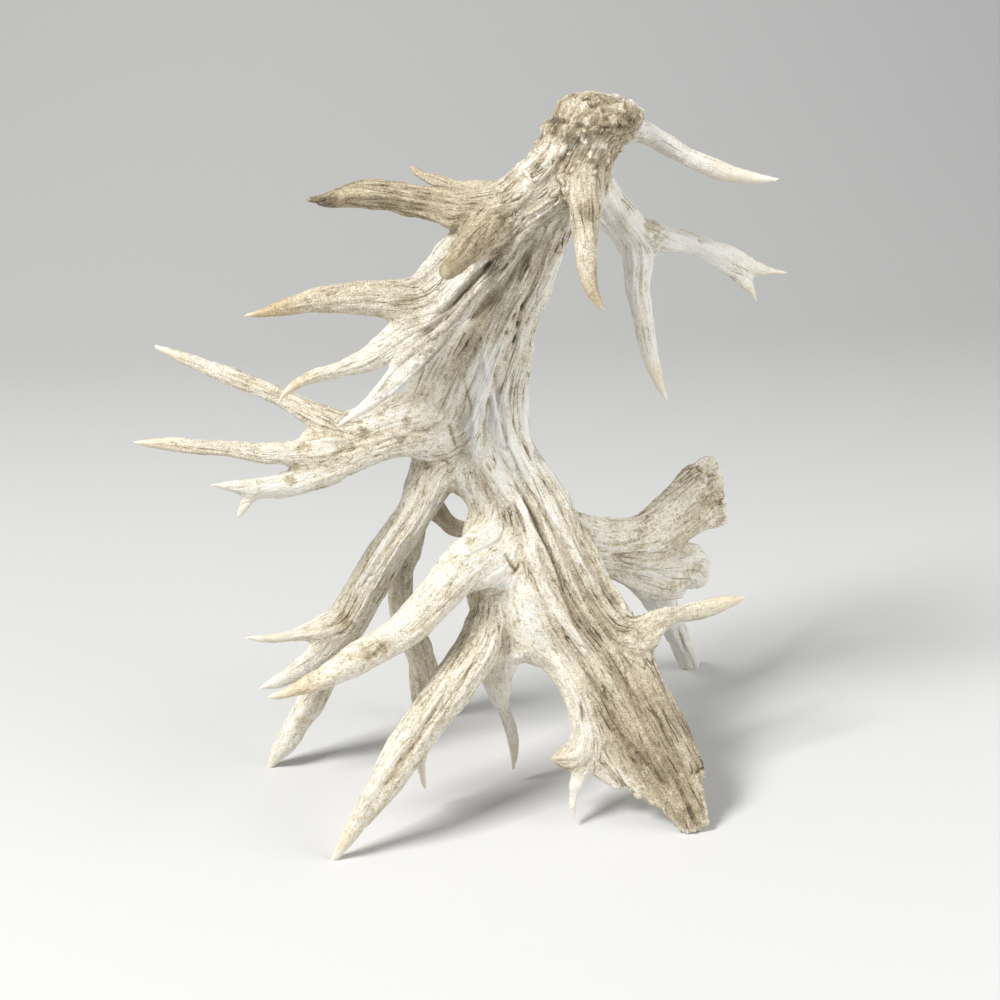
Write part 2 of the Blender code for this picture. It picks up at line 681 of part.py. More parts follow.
def main():
    """Build the antler."""
    clear_scene()
    antler = bpy.data.collections.new("whitetail_antler")
    cutters = bpy.data.collections.new("cutters")
    bpy.context.scene.collection.children.link(antler)
    bpy.context.scene.collection.children.link(cutters)
    body = build_body(antler)
    fill_forks(body)
    raise_ribs(body)
    smooth(body)
    reduce_faces(body)
    wear_feet(body)
    saw(body, cutters)
    split_pieces(body, antler)


main()
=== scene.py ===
"""A shed whitetail deer antler with many points, standing on its lower tines with the burr at the top.

The whole antler is grown as one body, because its furrows and stains run on from limb to limb, and is
then parted at its main forks into the pieces that stand for the limbs. Shapes are worked out in mm
and written in metres. +Z is up, -Y is the front, and z = 0 is the surface that it stands on.
"""
import json
import math

import bmesh
import bpy
import numpy as np
from mathutils import Matrix, Vector

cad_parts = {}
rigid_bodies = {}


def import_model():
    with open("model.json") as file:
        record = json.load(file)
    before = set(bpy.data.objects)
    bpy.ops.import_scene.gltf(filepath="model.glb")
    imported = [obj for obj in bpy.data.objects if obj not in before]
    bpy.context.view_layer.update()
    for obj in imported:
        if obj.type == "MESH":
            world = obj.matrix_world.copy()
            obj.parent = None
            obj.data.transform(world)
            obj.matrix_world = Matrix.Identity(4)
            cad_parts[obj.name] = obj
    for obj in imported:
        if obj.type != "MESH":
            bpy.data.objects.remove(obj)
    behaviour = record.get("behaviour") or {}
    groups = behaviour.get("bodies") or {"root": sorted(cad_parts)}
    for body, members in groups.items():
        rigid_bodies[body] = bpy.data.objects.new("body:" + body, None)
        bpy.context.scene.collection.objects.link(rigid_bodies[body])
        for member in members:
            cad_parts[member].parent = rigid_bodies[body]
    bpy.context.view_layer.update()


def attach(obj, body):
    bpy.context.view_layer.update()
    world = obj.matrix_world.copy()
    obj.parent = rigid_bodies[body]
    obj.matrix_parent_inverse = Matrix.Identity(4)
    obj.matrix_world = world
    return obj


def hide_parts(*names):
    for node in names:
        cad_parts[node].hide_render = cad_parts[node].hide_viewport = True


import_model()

bl_info = {
    "name": "Whitetail antler",
    "version": (1, 0, 0),
    "blender": (4, 5, 0),
    "location": "View3D > Sidebar > Antler",
    "description": "Grows, parts and finishes a shed whitetail antler, and sets its stage",
    "category": "Object",
}

MM = 0.001

# The one seed of all that is strewn
SEED = 7

# Limbs, as rows of x, y, z, width and thickness in mm. The width lies across the limb as seen from
# the front, and the thickness from front to back.
BRANCHES = {
    "beam": (
        (78, -29, 425, 46, 42), (71, -29, 413, 43, 39), (64, -28, 401, 45, 38), (58, -25, 386, 43, 35),
    ),
    "trunk": (
        (62, -23, 394, 36, 33), (51, -14, 370, 33, 30), (38, -9, 342, 36, 31), (23, -7, 311, 43, 32),
        (12, -9, 283, 51, 33), (4, -13, 256, 61, 34), (4, -17, 231, 66, 33), (15, -22, 208, 58, 27),
        (29, -29, 184, 58, 24), (41, -37, 155, 66, 23), (57, -47, 124, 62, 19), (75, -59, 99, 57, 16),
        (89, -73, 74, 52, 14), (100, -85, 54, 57, 14), (111, -95, 35, 52, 10), (120, -102, 19, 31, 7),
        (128, -107, 1, 19, 7),
    ),
    "palm_front": (
        (16, -25, 194, 38, 19), (14, -37, 168, 53, 18), (19, -46, 141, 60, 18), (30, -52, 116, 50, 15),
        (41, -55, 99, 25, 10),
    ),
    "fan_sheet": (
        (57, -32, 395, 40, 32), (38, -38, 384, 37, 23), (25, -42, 374, 36, 18), (7, -48, 355, 37, 15),
        (-9, -52, 339, 38, 14), (-22, -54, 325, 38, 12), (-34, -55, 314, 29, 9),
    ),
    "trunk_web": (
        (49, -19, 375, 26, 13), (32, -19, 349, 31, 11), (14, -20, 320, 39, 12), (-4, -23, 291, 46, 14),
        (-18, -23, 265, 49, 16), (-21, -21, 243, 47, 19),
    ),
    "fan_tine_a": (
        (19, -45, 379, 26, 16), (0, -47, 378, 25, 16), (-17, -45, 382, 19, 15), (-35, -42, 385, 17, 14),
        (-58, -38, 388, 16, 13), (-71, -35, 387, 12, 10), (-83, -33, 385, 8, 7), (-90, -32, 385, 5, 5),
    ),
    "fan_spur_b": (
        (21, -33, 383, 17, 14), (8, -25, 386, 12, 10), (-5, -17, 388, 9, 8), (-14, -11, 390, 9, 8),
        (-24, -4, 393, 7, 6), (-32, 1, 398, 3, 3),
    ),
    "fan_tine_c": (
        (13, -47, 367, 26, 21), (6, -67, 364, 21, 19), (-1, -85, 360, 16, 16), (-6, -102, 356, 12, 12),
        (-9, -111, 355, 11, 11),
    ),
    "fan_tine_d": (
        (-17, -53, 328, 35, 12), (-36, -55, 329, 27, 13), (-59, -57, 332, 21, 14),
        (-83, -60, 332, 16, 13), (-106, -64, 329, 10, 9), (-117, -66, 327, 6, 6),
        (-127, -67, 326, 3, 3),
    ),
    "fan_tine_e": (
        (-24, -55, 318, 31, 11), (-40, -59, 308, 21, 10), (-60, -65, 297, 14, 10),
        (-79, -70, 292, 11, 9), (-94, -75, 289, 9, 8), (-105, -78, 284, 6, 6), (-111, -80, 277, 3, 3),
    ),
    "fan_tine_f": (
        (-4, -51, 327, 16, 11), (-18, -56, 310, 19, 10), (-32, -63, 295, 17, 9), (-44, -69, 285, 14, 9),
        (-56, -76, 276, 10, 8), (-67, -83, 270, 6, 6), (-77, -89, 265, 3, 3),
    ),
    "side_palm": (
        (0, -18, 241, 56, 28), (-23, -21, 244, 51, 23), (-46, -25, 245, 42, 18),
        (-71, -29, 238, 39, 16), (-90, -33, 233, 38, 14), (-102, -37, 232, 31, 11),
    ),
    "side_tine_a": (
        (-83, -31, 247, 21, 13), (-101, -29, 257, 16, 13), (-123, -23, 268, 12, 11),
        (-145, -17, 276, 12, 11), (-164, -12, 283, 10, 9), (-183, -8, 291, 7, 6), (-195, -6, 296, 3, 3),
    ),
    "side_tine_b": (
        (-88, -35, 234, 22, 13), (-110, -41, 235, 16, 13), (-129, -46, 237, 13, 12),
        (-151, -52, 243, 11, 10), (-169, -56, 246, 10, 9), (-189, -60, 250, 7, 7),
        (-201, -62, 252, 3, 3),
    ),
    "side_tine_c": (
        (-87, -35, 224, 26, 13), (-108, -43, 217, 18, 12), (-127, -50, 216, 15, 9),
        (-140, -55, 216, 14, 7),
    ),
    "side_prong_left": (
        (-133, -53, 217, 11, 8), (-148, -59, 221, 7, 6), (-158, -63, 224, 3, 3),
    ),
    "side_prong_down": (
        (-136, -54, 215, 10, 7), (-141, -57, 207, 7, 6), (-145, -58, 201, 3, 3),
    ),
    "left_leg": (
        (-17, -19, 224, 46, 23), (-29, -18, 206, 32, 23), (-37, -17, 189, 24, 21),
        (-52, -16, 168, 24, 21), (-65, -15, 149, 26, 23), (-76, -14, 131, 26, 23),
        (-87, -13, 112, 28, 22), (-101, -13, 96, 30, 20),
    ),
    "left_spur_a": (
        (-94, -16, 108, 22, 16), (-112, -22, 107, 14, 11), (-126, -27, 106, 9, 8),
        (-139, -32, 107, 7, 7), (-152, -37, 111, 3, 3),
    ),
    "left_spur_b": (
        (-99, -18, 97, 22, 16), (-113, -28, 88, 17, 12), (-126, -34, 82, 14, 9), (-137, -39, 79, 9, 7),
        (-146, -43, 77, 3, 3),
    ),
    "left_foot": (
        (-100, -12, 92, 28, 18), (-109, -11, 69, 21, 17), (-120, -10, 47, 19, 16),
        (-133, -9, 27, 17, 14), (-145, -9, 9, 10, 10), (-151, -9, 0, 5, 5),
    ),
    "rear_tine": (
        (-32, -9, 190, 18, 14), (-26, 3, 175, 14, 13), (-18, 13, 162, 12, 11), (-10, 21, 157, 10, 10),
        (6, 33, 147, 7, 7), (21, 43, 134, 3, 3),
    ),
    "rear_branch": (
        (-42, -13, 178, 19, 15), (-47, -1, 156, 18, 15), (-53, 13, 133, 17, 15), (-56, 25, 107, 18, 15),
        (-53, 35, 82, 20, 16), (-47, 42, 55, 21, 13), (-46, 47, 29, 22, 12), (-46, 51, 9, 16, 10),
        (-47, 52, -1, 9, 7),
    ),
    "long_tine": (
        (30, -34, 170, 60, 8), (10, -45, 167, 46, 14), (-10, -60, 162, 32, 20), (-26, -75, 151, 25, 21),
        (-44, -88, 137, 23, 20), (-62, -99, 130, 20, 17), (-80, -108, 124, 18, 16),
        (-98, -115, 117, 14, 12), (-113, -119, 113, 8, 8), (-125, -121, 111, 4, 4),
    ),
    "front_leg": (
        (8, -43, 141, 21, 15), (2, -55, 128, 22, 18), (-3, -68, 114, 29, 21), (-15, -81, 101, 28, 23),
        (-29, -93, 86, 26, 23), (-46, -105, 68, 25, 22), (-62, -114, 47, 21, 18),
        (-76, -119, 28, 15, 14), (-88, -122, 11, 9, 8), (-96, -123, 0, 5, 5),
    ),
    "front_leg_spur": (
        (-34, -95, 77, 17, 12), (-41, -89, 55, 11, 8), (-42, -82, 36, 7, 6), (-41, -76, 18, 3, 3),
    ),
    "hanging_tine": (
        (9, -61, 107, 35, 14), (7, -55, 86, 22, 13), (9, -51, 68, 13, 11), (14, -47, 48, 9, 8),
        (17, -44, 27, 7, 7), (16, -42, 10, 3, 3),
    ),
    "knobbed_branch": (
        (39, -51, 104, 23, 14), (49, -59, 87, 17, 13), (57, -71, 74, 16, 13), (60, -80, 59, 17, 13),
        (61, -86, 46, 22, 16),
    ),
    "knob": (
        (65, -85, 44, 19, 13), (52, -88, 44, 19, 15), (43, -90, 45, 9, 8),
    ),
    "knob_tine": (
        (60, -88, 41, 14, 12), (55, -92, 28, 9, 8), (52, -95, 15, 6, 6), (53, -97, 5, 3, 3),
    ),
    "blade_lip": (
        (59, -86, 45, 16, 10), (71, -88, 36, 15, 8), (83, -91, 26, 14, 6),
    ),
    "right_tine": (
        (92, -59, 106, 31, 13), (105, -54, 115, 21, 10), (117, -47, 119, 15, 11),
        (131, -40, 118, 13, 11), (145, -34, 118, 12, 11), (159, -28, 119, 9, 9), (171, -22, 119, 3, 3),
    ),
    "rear_lobe": (
        (59, -27, 162, 45, 22), (81, -7, 153, 36, 18), (106, 15, 147, 36, 15), (128, 37, 151, 38, 14),
        (144, 57, 154, 44, 13), (157, 71, 157, 50, 12), (171, 83, 156, 52, 10),
    ),
    "rear_wedge": (
        (76, -11, 152, 30, 15), (100, 9, 133, 32, 15), (123, 29, 117, 40, 15), (143, 43, 113, 38, 12),
        (154, 52, 100, 17, 8),
    ),
    "rear_leg": (
        (113, 27, 114, 31, 19), (123, 47, 90, 25, 18), (133, 69, 64, 20, 16), (143, 91, 39, 18, 16),
        (152, 112, 13, 17, 15), (156, 121, -1, 15, 14),
    ),
    "front_tine": (
        (67, -41, 394, 25, 20), (68, -52, 382, 20, 17), (68, -59, 370, 17, 16), (68, -66, 357, 14, 13),
        (68, -71, 342, 11, 11), (72, -74, 330, 7, 7), (76, -76, 323, 3, 3),
    ),
    "brow_tine": (
        (87, -22, 419, 20, 18), (104, -17, 415, 15, 13), (117, -15, 408, 14, 13),
        (138, -11, 396, 13, 12), (157, -8, 388, 11, 10), (175, -6, 384, 7, 7), (187, -5, 383, 3, 3),
    ),
    "back_stem": (
        (75, -19, 390, 23, 19), (84, -11, 379, 18, 16), (93, -5, 367, 17, 16), (104, 1, 354, 22, 18),
    ),
    "back_rib": (
        (79, -7, 368, 11, 8), (88, 0, 356, 7, 6), (97, 4, 343, 10, 8),
    ),
    "back_long_tine": (
        (104, 1, 353, 22, 18), (105, 5, 336, 19, 16), (104, 8, 321, 16, 15), (108, 11, 300, 14, 12),
        (112, 13, 277, 12, 11), (118, 15, 257, 8, 8), (124, 16, 243, 3, 3),
    ),
    "back_right_tine": (
        (105, 1, 354, 21, 17), (121, 5, 349, 18, 15), (136, 9, 345, 15, 13), (151, 13, 338, 15, 12),
        (166, 16, 330, 18, 9), (175, 18, 326, 15, 6),
    ),
    "back_prong_out": (
        (170, 17, 328, 14, 7), (187, 20, 324, 6, 5), (201, 22, 321, 3, 3),
    ),
    "back_prong_down": (
        (168, 17, 325, 14, 7), (176, 18, 314, 8, 6), (181, 19, 305, 3, 3),
    ),
}

# Seen from here a limb shows its width. A limb that points to the front is seen from above instead.
FRONT = (0.0, -1.0, 0.3)
ABOVE = (0.0, 0.2, 1.0)
SEEN_FROM_ABOVE = ("fan_tine_c",)

# Limbs that end in a break and not in a rounded tip
BROKEN = ("trunk", "rear_lobe", "rear_leg")

# Broad ribs and furrows that run down the front of a limb: limb, start and end along it (0 to 1),
# place across it at both ends (-1 is the left edge and 1 the right edge), width and height in mm
RIBS = (
    ("trunk", 0.10, 0.98, 0.62, 0.66, 15.0, 2.6),
    ("trunk", 0.20, 0.92, 0.22, 0.12, 8.0, -2.4),
    ("trunk", 0.18, 0.90, -0.02, -0.30, 9.0, 3.0),
    ("trunk", 0.30, 0.90, 0.42, 0.38, 7.0, -1.8),
    ("trunk", 0.20, 0.52, -0.30, -0.45, 9.0, -2.0),
    ("trunk_web", 0.15, 0.90, 0.10, 0.40, 8.0, 2.0),
    ("trunk_web", 0.15, 0.90, -0.25, 0.05, 7.0, -1.6),
    ("fan_sheet", 0.05, 0.98, 0.80, 0.80, 8.0, 2.2),
    ("fan_sheet", 0.05, 0.98, 0.55, 0.52, 7.0, -1.8),
    ("fan_sheet", 0.10, 0.98, 0.28, 0.20, 8.0, 1.6),
    ("left_leg", 0.10, 0.95, 0.30, 0.35, 7.0, 1.5),
    ("left_leg", 0.10, 0.95, -0.15, -0.10, 7.0, -1.5),
    ("front_leg", 0.30, 0.88, 0.05, 0.05, 7.0, -1.4),
    ("front_leg", 0.30, 0.88, -0.40, -0.40, 8.0, 1.2),
    ("side_palm", 0.10, 0.90, 0.10, 0.10, 9.0, -1.4),
)

# How a limb looks, at its root and at its tip: stain (0 is white, 1 is dark brown), greyness, depth
# of its furrows, and how much it is flecked with tan. Limbs that aren't named take the first row.
LIMB_LOOKS = {
    "": ((0.44, 0.25, 0.60, 0.70), (0.34, 0.15, 0.25, 0.40)),
    "beam": ((0.78, 0.20, 0.60, 0.50), (0.72, 0.25, 0.90, 0.60)),
    "trunk": ((0.28, 0.62, 1.20, 0.50), (0.66, 0.15, 1.00, 0.70)),
    "palm_front": ((0.30, 0.15, 0.40, 1.40), (0.28, 0.25, 0.30, 1.40)),
    "fan_sheet": ((0.52, 0.35, 1.10, 0.60), (0.38, 0.80, 0.90, 0.80)),
    "trunk_web": ((0.30, 0.60, 0.90, 0.60), (0.24, 0.25, 0.70, 0.80)),
    "fan_tine_a": ((0.70, 0.15, 0.90, 0.70), (0.92, 0.05, 0.90, 0.80)),
    "fan_spur_b": ((0.60, 0.20, 0.80, 0.50), (0.70, 0.05, 0.60, 0.30)),
    "fan_tine_c": ((0.74, 0.05, 0.90, 1.00), (0.94, 0.00, 0.70, 1.20)),
    "fan_tine_d": ((0.50, 0.30, 0.60, 0.90), (0.66, 0.00, 0.30, 0.60)),
    "fan_tine_e": ((0.38, 0.60, 0.70, 0.70), (0.46, 0.15, 0.30, 0.40)),
    "fan_tine_f": ((0.40, 0.80, 0.80, 0.60), (0.32, 0.55, 0.40, 0.30)),
    "side_palm": ((0.32, 0.30, 0.60, 1.10), (0.41, 0.15, 0.50, 1.20)),
    "side_tine_a": ((0.42, 0.10, 0.70, 1.00), (0.40, 0.05, 0.40, 0.70)),
    "side_tine_b": ((0.40, 0.10, 0.70, 1.00), (0.42, 0.05, 0.40, 0.70)),
    "side_tine_c": ((0.40, 0.40, 0.60, 0.70), (0.30, 0.50, 0.30, 0.40)),
    "left_leg": ((0.30, 0.10, 0.80, 0.90), (0.38, 0.10, 0.80, 0.90)),
    "left_spur_a": ((0.44, 0.15, 0.60, 0.60), (0.24, 0.05, 0.20, 0.20)),
    "left_spur_b": ((0.52, 0.70, 0.50, 0.50), (0.36, 0.60, 0.20, 0.20)),
    "left_foot": ((0.38, 0.15, 0.80, 1.00), (0.30, 0.05, 0.40, 0.70)),
    "rear_tine": ((0.74, 0.20, 0.60, 0.40), (0.70, 0.15, 0.40, 0.30)),
    "rear_branch": ((0.66, 0.45, 0.80, 0.60), (0.52, 0.30, 0.60, 0.60)),
    "long_tine": ((0.30, 0.15, 0.50, 1.10), (0.46, 0.00, 0.30, 0.90)),
    "front_leg": ((0.46, 0.15, 0.80, 1.20), (0.34, 0.05, 0.50, 0.90)),
    "front_leg_spur": ((0.42, 0.30, 0.50, 0.50), (0.34, 0.15, 0.20, 0.30)),
    "hanging_tine": ((0.42, 0.55, 0.40, 0.40), (0.36, 0.25, 0.20, 0.30)),
    "knobbed_branch": ((0.38, 0.60, 0.40, 0.30), (0.38, 0.55, 0.50, 0.50)),
    "knob": ((0.46, 0.25, 0.60, 0.60), (0.56, 0.15, 0.70, 0.70)),
    "knob_tine": ((0.32, 0.35, 0.30, 0.40), (0.28, 0.25, 0.20, 0.20)),
    "blade_lip": ((0.36, 0.35, 0.50, 0.50), (0.34, 0.35, 0.50, 0.50)),
    "right_tine": ((0.52, 0.30, 0.60, 0.90), (0.40, 0.05, 0.25, 0.40)),
    "rear_lobe": ((0.32, 0.20, 0.70, 1.20), (0.48, 0.10, 0.90, 1.10)),
    "rear_wedge": ((0.36, 0.30, 0.60, 0.80), (0.26, 0.30, 0.50, 0.60)),
    # The rear leg is coloured near chalk as painted light, where it lies in the shade of the blade
    "rear_leg": ((0.16, 0.15, 0.70, 0.70), (0.10, 0.05, 0.60, 0.70)),
    "front_tine": ((0.58, 0.35, 0.90, 0.60), (0.62, 0.10, 0.50, 0.40)),
    "brow_tine": ((0.34, 0.80, 0.60, 0.50), (0.34, 0.50, 0.30, 0.30)),
    "back_stem": ((0.16, 0.50, 0.80, 0.50), (0.22, 0.45, 0.70, 0.60)),
    "back_rib": ((0.38, 0.60, 0.70, 0.40), (0.38, 0.60, 0.70, 0.40)),
    # Coloured paler as painted light, where this tine lies in the shade of the burr
    "back_long_tine": ((0.14, 0.35, 0.80, 0.90), (0.26, 0.10, 0.40, 0.60)),
    "back_right_tine": ((0.20, 0.50, 0.60, 0.50), (0.22, 0.45, 0.40, 0.40)),
    "back_prong_out": ((0.38, 0.45, 0.50, 0.40), (0.34, 0.15, 0.20, 0.20)),
    "back_prong_down": ((0.38, 0.45, 0.50, 0.40), (0.34, 0.15, 0.20, 0.20)),
}
LOOK_NAMES = ("stain", "grey", "furrow", "fleck", "worn", "amber", "pearl")

# Tines whose ends are worn smooth: how far from the tip that reaches in mm, and how amber it is
WORN_TIPS = {
    "fan_tine_a": (10, 0.2), "fan_spur_b": (12, 0.3), "fan_tine_c": (8, 0.3), "fan_tine_d": (34, 0.7),
    "fan_tine_e": (30, 0.5), "fan_tine_f": (30, 0.1), "side_tine_a": (30, 0.3), "side_tine_b": (30, 0.3),
    "side_prong_left": (14, 0.1), "side_prong_down": (12, 0.1), "left_spur_a": (34, 0.2),
    "left_spur_b": (26, 0.1), "left_foot": (20, 0.2), "rear_tine": (20, 0.4), "long_tine": (40, 0.5),
    "front_leg": (36, 0.3), "front_leg_spur": (24, 0.3), "hanging_tine": (30, 0.3), "knob_tine": (20, 0.1),
    "right_tine": (34, 0.3), "front_tine": (24, 0.5), "brow_tine": (60, 0.3), "back_long_tine": (36, 0.5),
    "back_prong_out": (22, 0.3), "back_prong_down": (18, 0.2),
}

# Lines that are seen on the surface: width and lift in mm (a groove sinks), stain (in the deep groove beside
# the fan it is painted shade), how much it is broken into beads, and points down it in mm
LINES = (
    (5, 2.8, -0.16, 0.1, ((6, -31, 299), (9, -30, 276), (12, -28, 260), (16, -30, 241), (20, -31, 225),
        (24, -33, 209), (27, -36, 199), (30, -41, 185), (38, -44, 171), (44, -47, 157), (49, -52, 142),
        (55, -58, 124), (62, -64, 110), (66, -69, 94), (70, -75, 80))),
    (3.4, -2.6, 0.24, 0, ((15, -29, 290), (14, -28, 265), (16, -30, 247), (19, -30, 231), (22, -32, 215),
        (28, -35, 199), (35, -39, 185), (41, -43, 169), (47, -47, 154), (54, -53, 135), (61, -59, 119))),
    (4.5, 1.8, -0.14, 0.2, ((22, -26, 279), (19, -28, 260), (21, -30, 244), (26, -31, 228),
        (34, -34, 210), (43, -38, 194), (51, -42, 180), (60, -46, 165), (68, -49, 150), (77, -52, 136),
        (86, -59, 121), (95, -67, 105), (106, -74, 87), (113, -82, 74))),
    (2.6, -1.6, 0.26, 0, ((26, -25, 276), (23, -28, 258), (26, -29, 243), (31, -28, 228), (40, -30, 212),
        (49, -34, 197), (56, -39, 182), (66, -41, 167))),
    (4.5, 1.4, -0.12, 0.2, ((33, -19, 287), (29, -22, 267), (29, -24, 250), (32, -24, 232),
        (39, -27, 216), (49, -31, 200), (59, -35, 183), (68, -39, 167), (77, -42, 150), (86, -47, 133),
        (94, -60, 118), (103, -66, 99), (110, -76, 82), (119, -87, 66), (128, -95, 49))),
    (4.5, 1.4, -0.12, 0.1, ((-6, -31, 282), (-4, -32, 270), (-1, -33, 252), (0, -35, 237),
        (-1, -33, 220), (-2, -34, 204), (-5, -31, 190))),
    (2.8, -1.4, 0.7, 0, ((-5, -32, 279), (-4, -32, 269), (-2, -31, 259), (-1, -33, 249))),
    (4, 1.3, -0.1, 0, ((-21, -31, 251), (-21, -34, 238), (-17, -33, 227), (-11, -32, 214),
        (-7, -32, 202), (-6, -30, 191))),
    (2.8, -1.2, 0.7, 0, ((-16, -31, 247), (-14, -32, 241), (-12, -33, 233))),
    (4.5, 1.6, 0.06, 1.0, ((55, -40, 373), (42, -45, 366), (32, -49, 357), (22, -53, 346),
        (13, -55, 336), (2, -57, 325), (-10, -61, 316), (-22, -63, 305), (-32, -68, 294),
        (-40, -72, 284), (-49, -76, 275))),
    # The deep groove in the hollow beside the fan; its stain is painted shade
    (9, -4.0, 0.32, 0, ((53, -27, 362), (43, -26, 355), (34, -25, 346), (24, -26, 334), (15, -25, 324),
        (5, -25, 313), (-7, -56, 310), (-16, -60, 300), (-24, -64, 292))),
    (2.8, -1.2, 0.75, 0, ((0, -26, 311), (-9, -58, 308), (-17, -62, 300), (-24, -65, 293), (-31, -68, 287))),
    (5, 1.2, -0.1, 0.4, ((42, -49, 379), (32, -50, 370), (19, -62, 362), (9, -57, 349), (-3, -60, 338),
        (-14, -61, 327), (-26, -62, 315), (-38, -65, 304))),
    (4, -1.2, 0.22, 0, ((37, -50, 370), (27, -53, 361), (16, -55, 350), (5, -58, 339), (-6, -59, 329),
        (-16, -60, 318), (-26, -63, 308))),
    (5, 0.9, -0.08, 0.3, ((27, -50, 380), (18, -60, 372), (7, -82, 366), (-1, -102, 360),
        (-10, -115, 353), (-22, -59, 333))),
    (3.6, 1.6, -0.1, 1.0, ((59, -53, 388), (50, -48, 382), (41, -49, 377), (32, -51, 371),
        (23, -56, 367), (15, -71, 365))),
    (4, 1.2, -0.1, 1.0, ((55, -45, 409), (48, -45, 401), (41, -47, 394), (32, -48, 388), (23, -49, 383))),
    (3.4, 1.0, -0.08, 0.8, ((88, -45, 413), (85, -41, 403), (82, -39, 393), (77, -53, 384))),
    (3.6, -2.2, 0.4, 0, ((52, -31, 424), (58, -43, 424), (65, -48, 422), (73, -54, 421), (81, -58, 421),
        (89, -54, 421), (96, -47, 423), (102, -38, 426))),
    (8, -1.6, 0.24, 0, ((61, -60, 375), (59, -27, 365), (55, -25, 359), (53, -24, 353))),
    (2.8, -1.2, 0.55, 0.3, ((-47, -21, 192), (-54, -20, 183), (-61, -21, 172), (-68, -22, 162),
        (-74, -22, 153), (-80, -22, 143), (-87, -21, 132))),
    (5, -1.2, 0.14, 0, ((-38, -27, 189), (-51, -27, 170), (-61, -27, 153), (-73, -26, 135),
        (-85, -24, 116), (-95, -25, 101))),
    (4, 0.9, -0.14, 0.2, ((-47, -24, 188), (-58, -24, 172), (-69, -24, 155), (-81, -23, 137),
        (-93, -21, 119), (-101, -25, 110))),
    (4, 0.9, -0.14, 0.2, ((-30, -21, 181), (-43, -19, 161), (-54, -19, 144), (-65, -18, 126),
        (-76, -20, 108))),
    (2.6, -0.8, 0.3, 0, ((-13, -74, 121), (-21, -88, 109), (-32, -99, 96), (-41, -109, 84),
        (-52, -116, 71))),
    (2.4, -0.6, 0.26, 0, ((-20, -94, 104), (-29, -103, 91), (-39, -111, 77), (-50, -118, 62),
        (-59, -122, 49))),
    (2.4, -0.5, 0.22, 0, ((-4, -81, 116), (-12, -92, 103), (-21, -101, 90), (-30, -108, 77))),
    (2.4, -0.5, 0.2, 0, ((-6, -72, 156), (-18, -83, 151), (-31, -91, 144), (-42, -98, 137))),
    (3.2, -1.8, 0.8, 0, ((16, -50, 167), (20, -51, 159), (23, -51, 155))),
    (3, -1.4, 0.7, 0, ((25, -49, 162), (23, -51, 157), (19, -53, 154))),
    (4, 1.0, -0.14, 0, ((3, -55, 141), (10, -58, 135), (13, -61, 126), (11, -68, 117))),
    (5, 1.0, -0.12, 0.2, ((29, -61, 106), (42, -61, 99), (50, -67, 87), (59, -75, 79), (66, -80, 68))),
    (5, 2.0, -0.18, 0.3, ((75, -61, 111), (86, -69, 95), (96, -77, 80), (105, -86, 67), (115, -92, 55),
        (122, -98, 43))),
    (5, -2.2, 0.22, 0.5, ((70, -80, 68), (78, -85, 62), (86, -90, 55), (95, -96, 46), (104, -99, 37),
        (111, -103, 27))),
    (5, -2.5, 0.25, 0.5, ((125, -100, 36), (130, -99, 37), (133, -97, 38))),
    (2.8, -1.6, 0.9, 0, ((59, -77, 77), (60, -80, 71), (60, -83, 66))),
    (3, -0.8, 0.2, 0, ((77, -24, 158), (89, -11, 155), (102, 2, 152), (114, 14, 151))),
    (5, 1.0, -0.1, 0.3, ((84, -13, 164), (98, 2, 160), (113, 20, 158), (127, 36, 162), (141, 55, 166),
        (155, 72, 173))),
    (5, 1.2, -0.12, 0, ((95, -6, 142), (109, 7, 132), (125, 21, 121), (140, 31, 112), (151, 45, 102))),
    (3, -1.8, 0.6, 0, ((139, 66, 58), (144, 80, 42), (149, 94, 24))),
    (5, 1.8, -0.12, 0.4, ((59, -22, 358), (53, -21, 344), (47, -19, 328), (40, -18, 311), (35, -19, 294),
        (32, -20, 277), (31, -20, 259))),
    (3.4, -1.8, 0.26, 0, ((48, -25, 352), (42, -24, 336), (35, -24, 320), (29, -24, 303), (25, -25, 288))),
    (5, 1.0, -0.06, 0.4, ((41, -25, 349), (34, -25, 335), (27, -26, 319), (20, -28, 304), (15, -29, 290))),
    (3, -0.9, 0.3, 0.3, ((-8, -51, 386), (-22, -49, 389), (-36, -46, 391), (-50, -44, 392),
        (-65, -41, 392))),
    (3, 0.7, -0.1, 0.3, ((-2, -55, 380), (-19, -52, 383), (-37, -49, 386), (-53, -46, 388),
        (-68, -41, 388))),
    (3, -0.9, 0.2, 0, ((105, -3, 337), (105, 1, 321), (108, 5, 304), (112, 7, 286))),
    (4, -1.0, 0.2, 0, ((-21, -32, 244), (-36, -34, 242), (-52, -36, 239), (-67, -37, 236), (-83, -39, 234))),
    (3, -0.6, 0.24, 0.3, ((-93, -35, 257), (-108, -32, 264), (-122, -27, 271), (-137, -23, 277),
        (-152, -19, 282))),
)

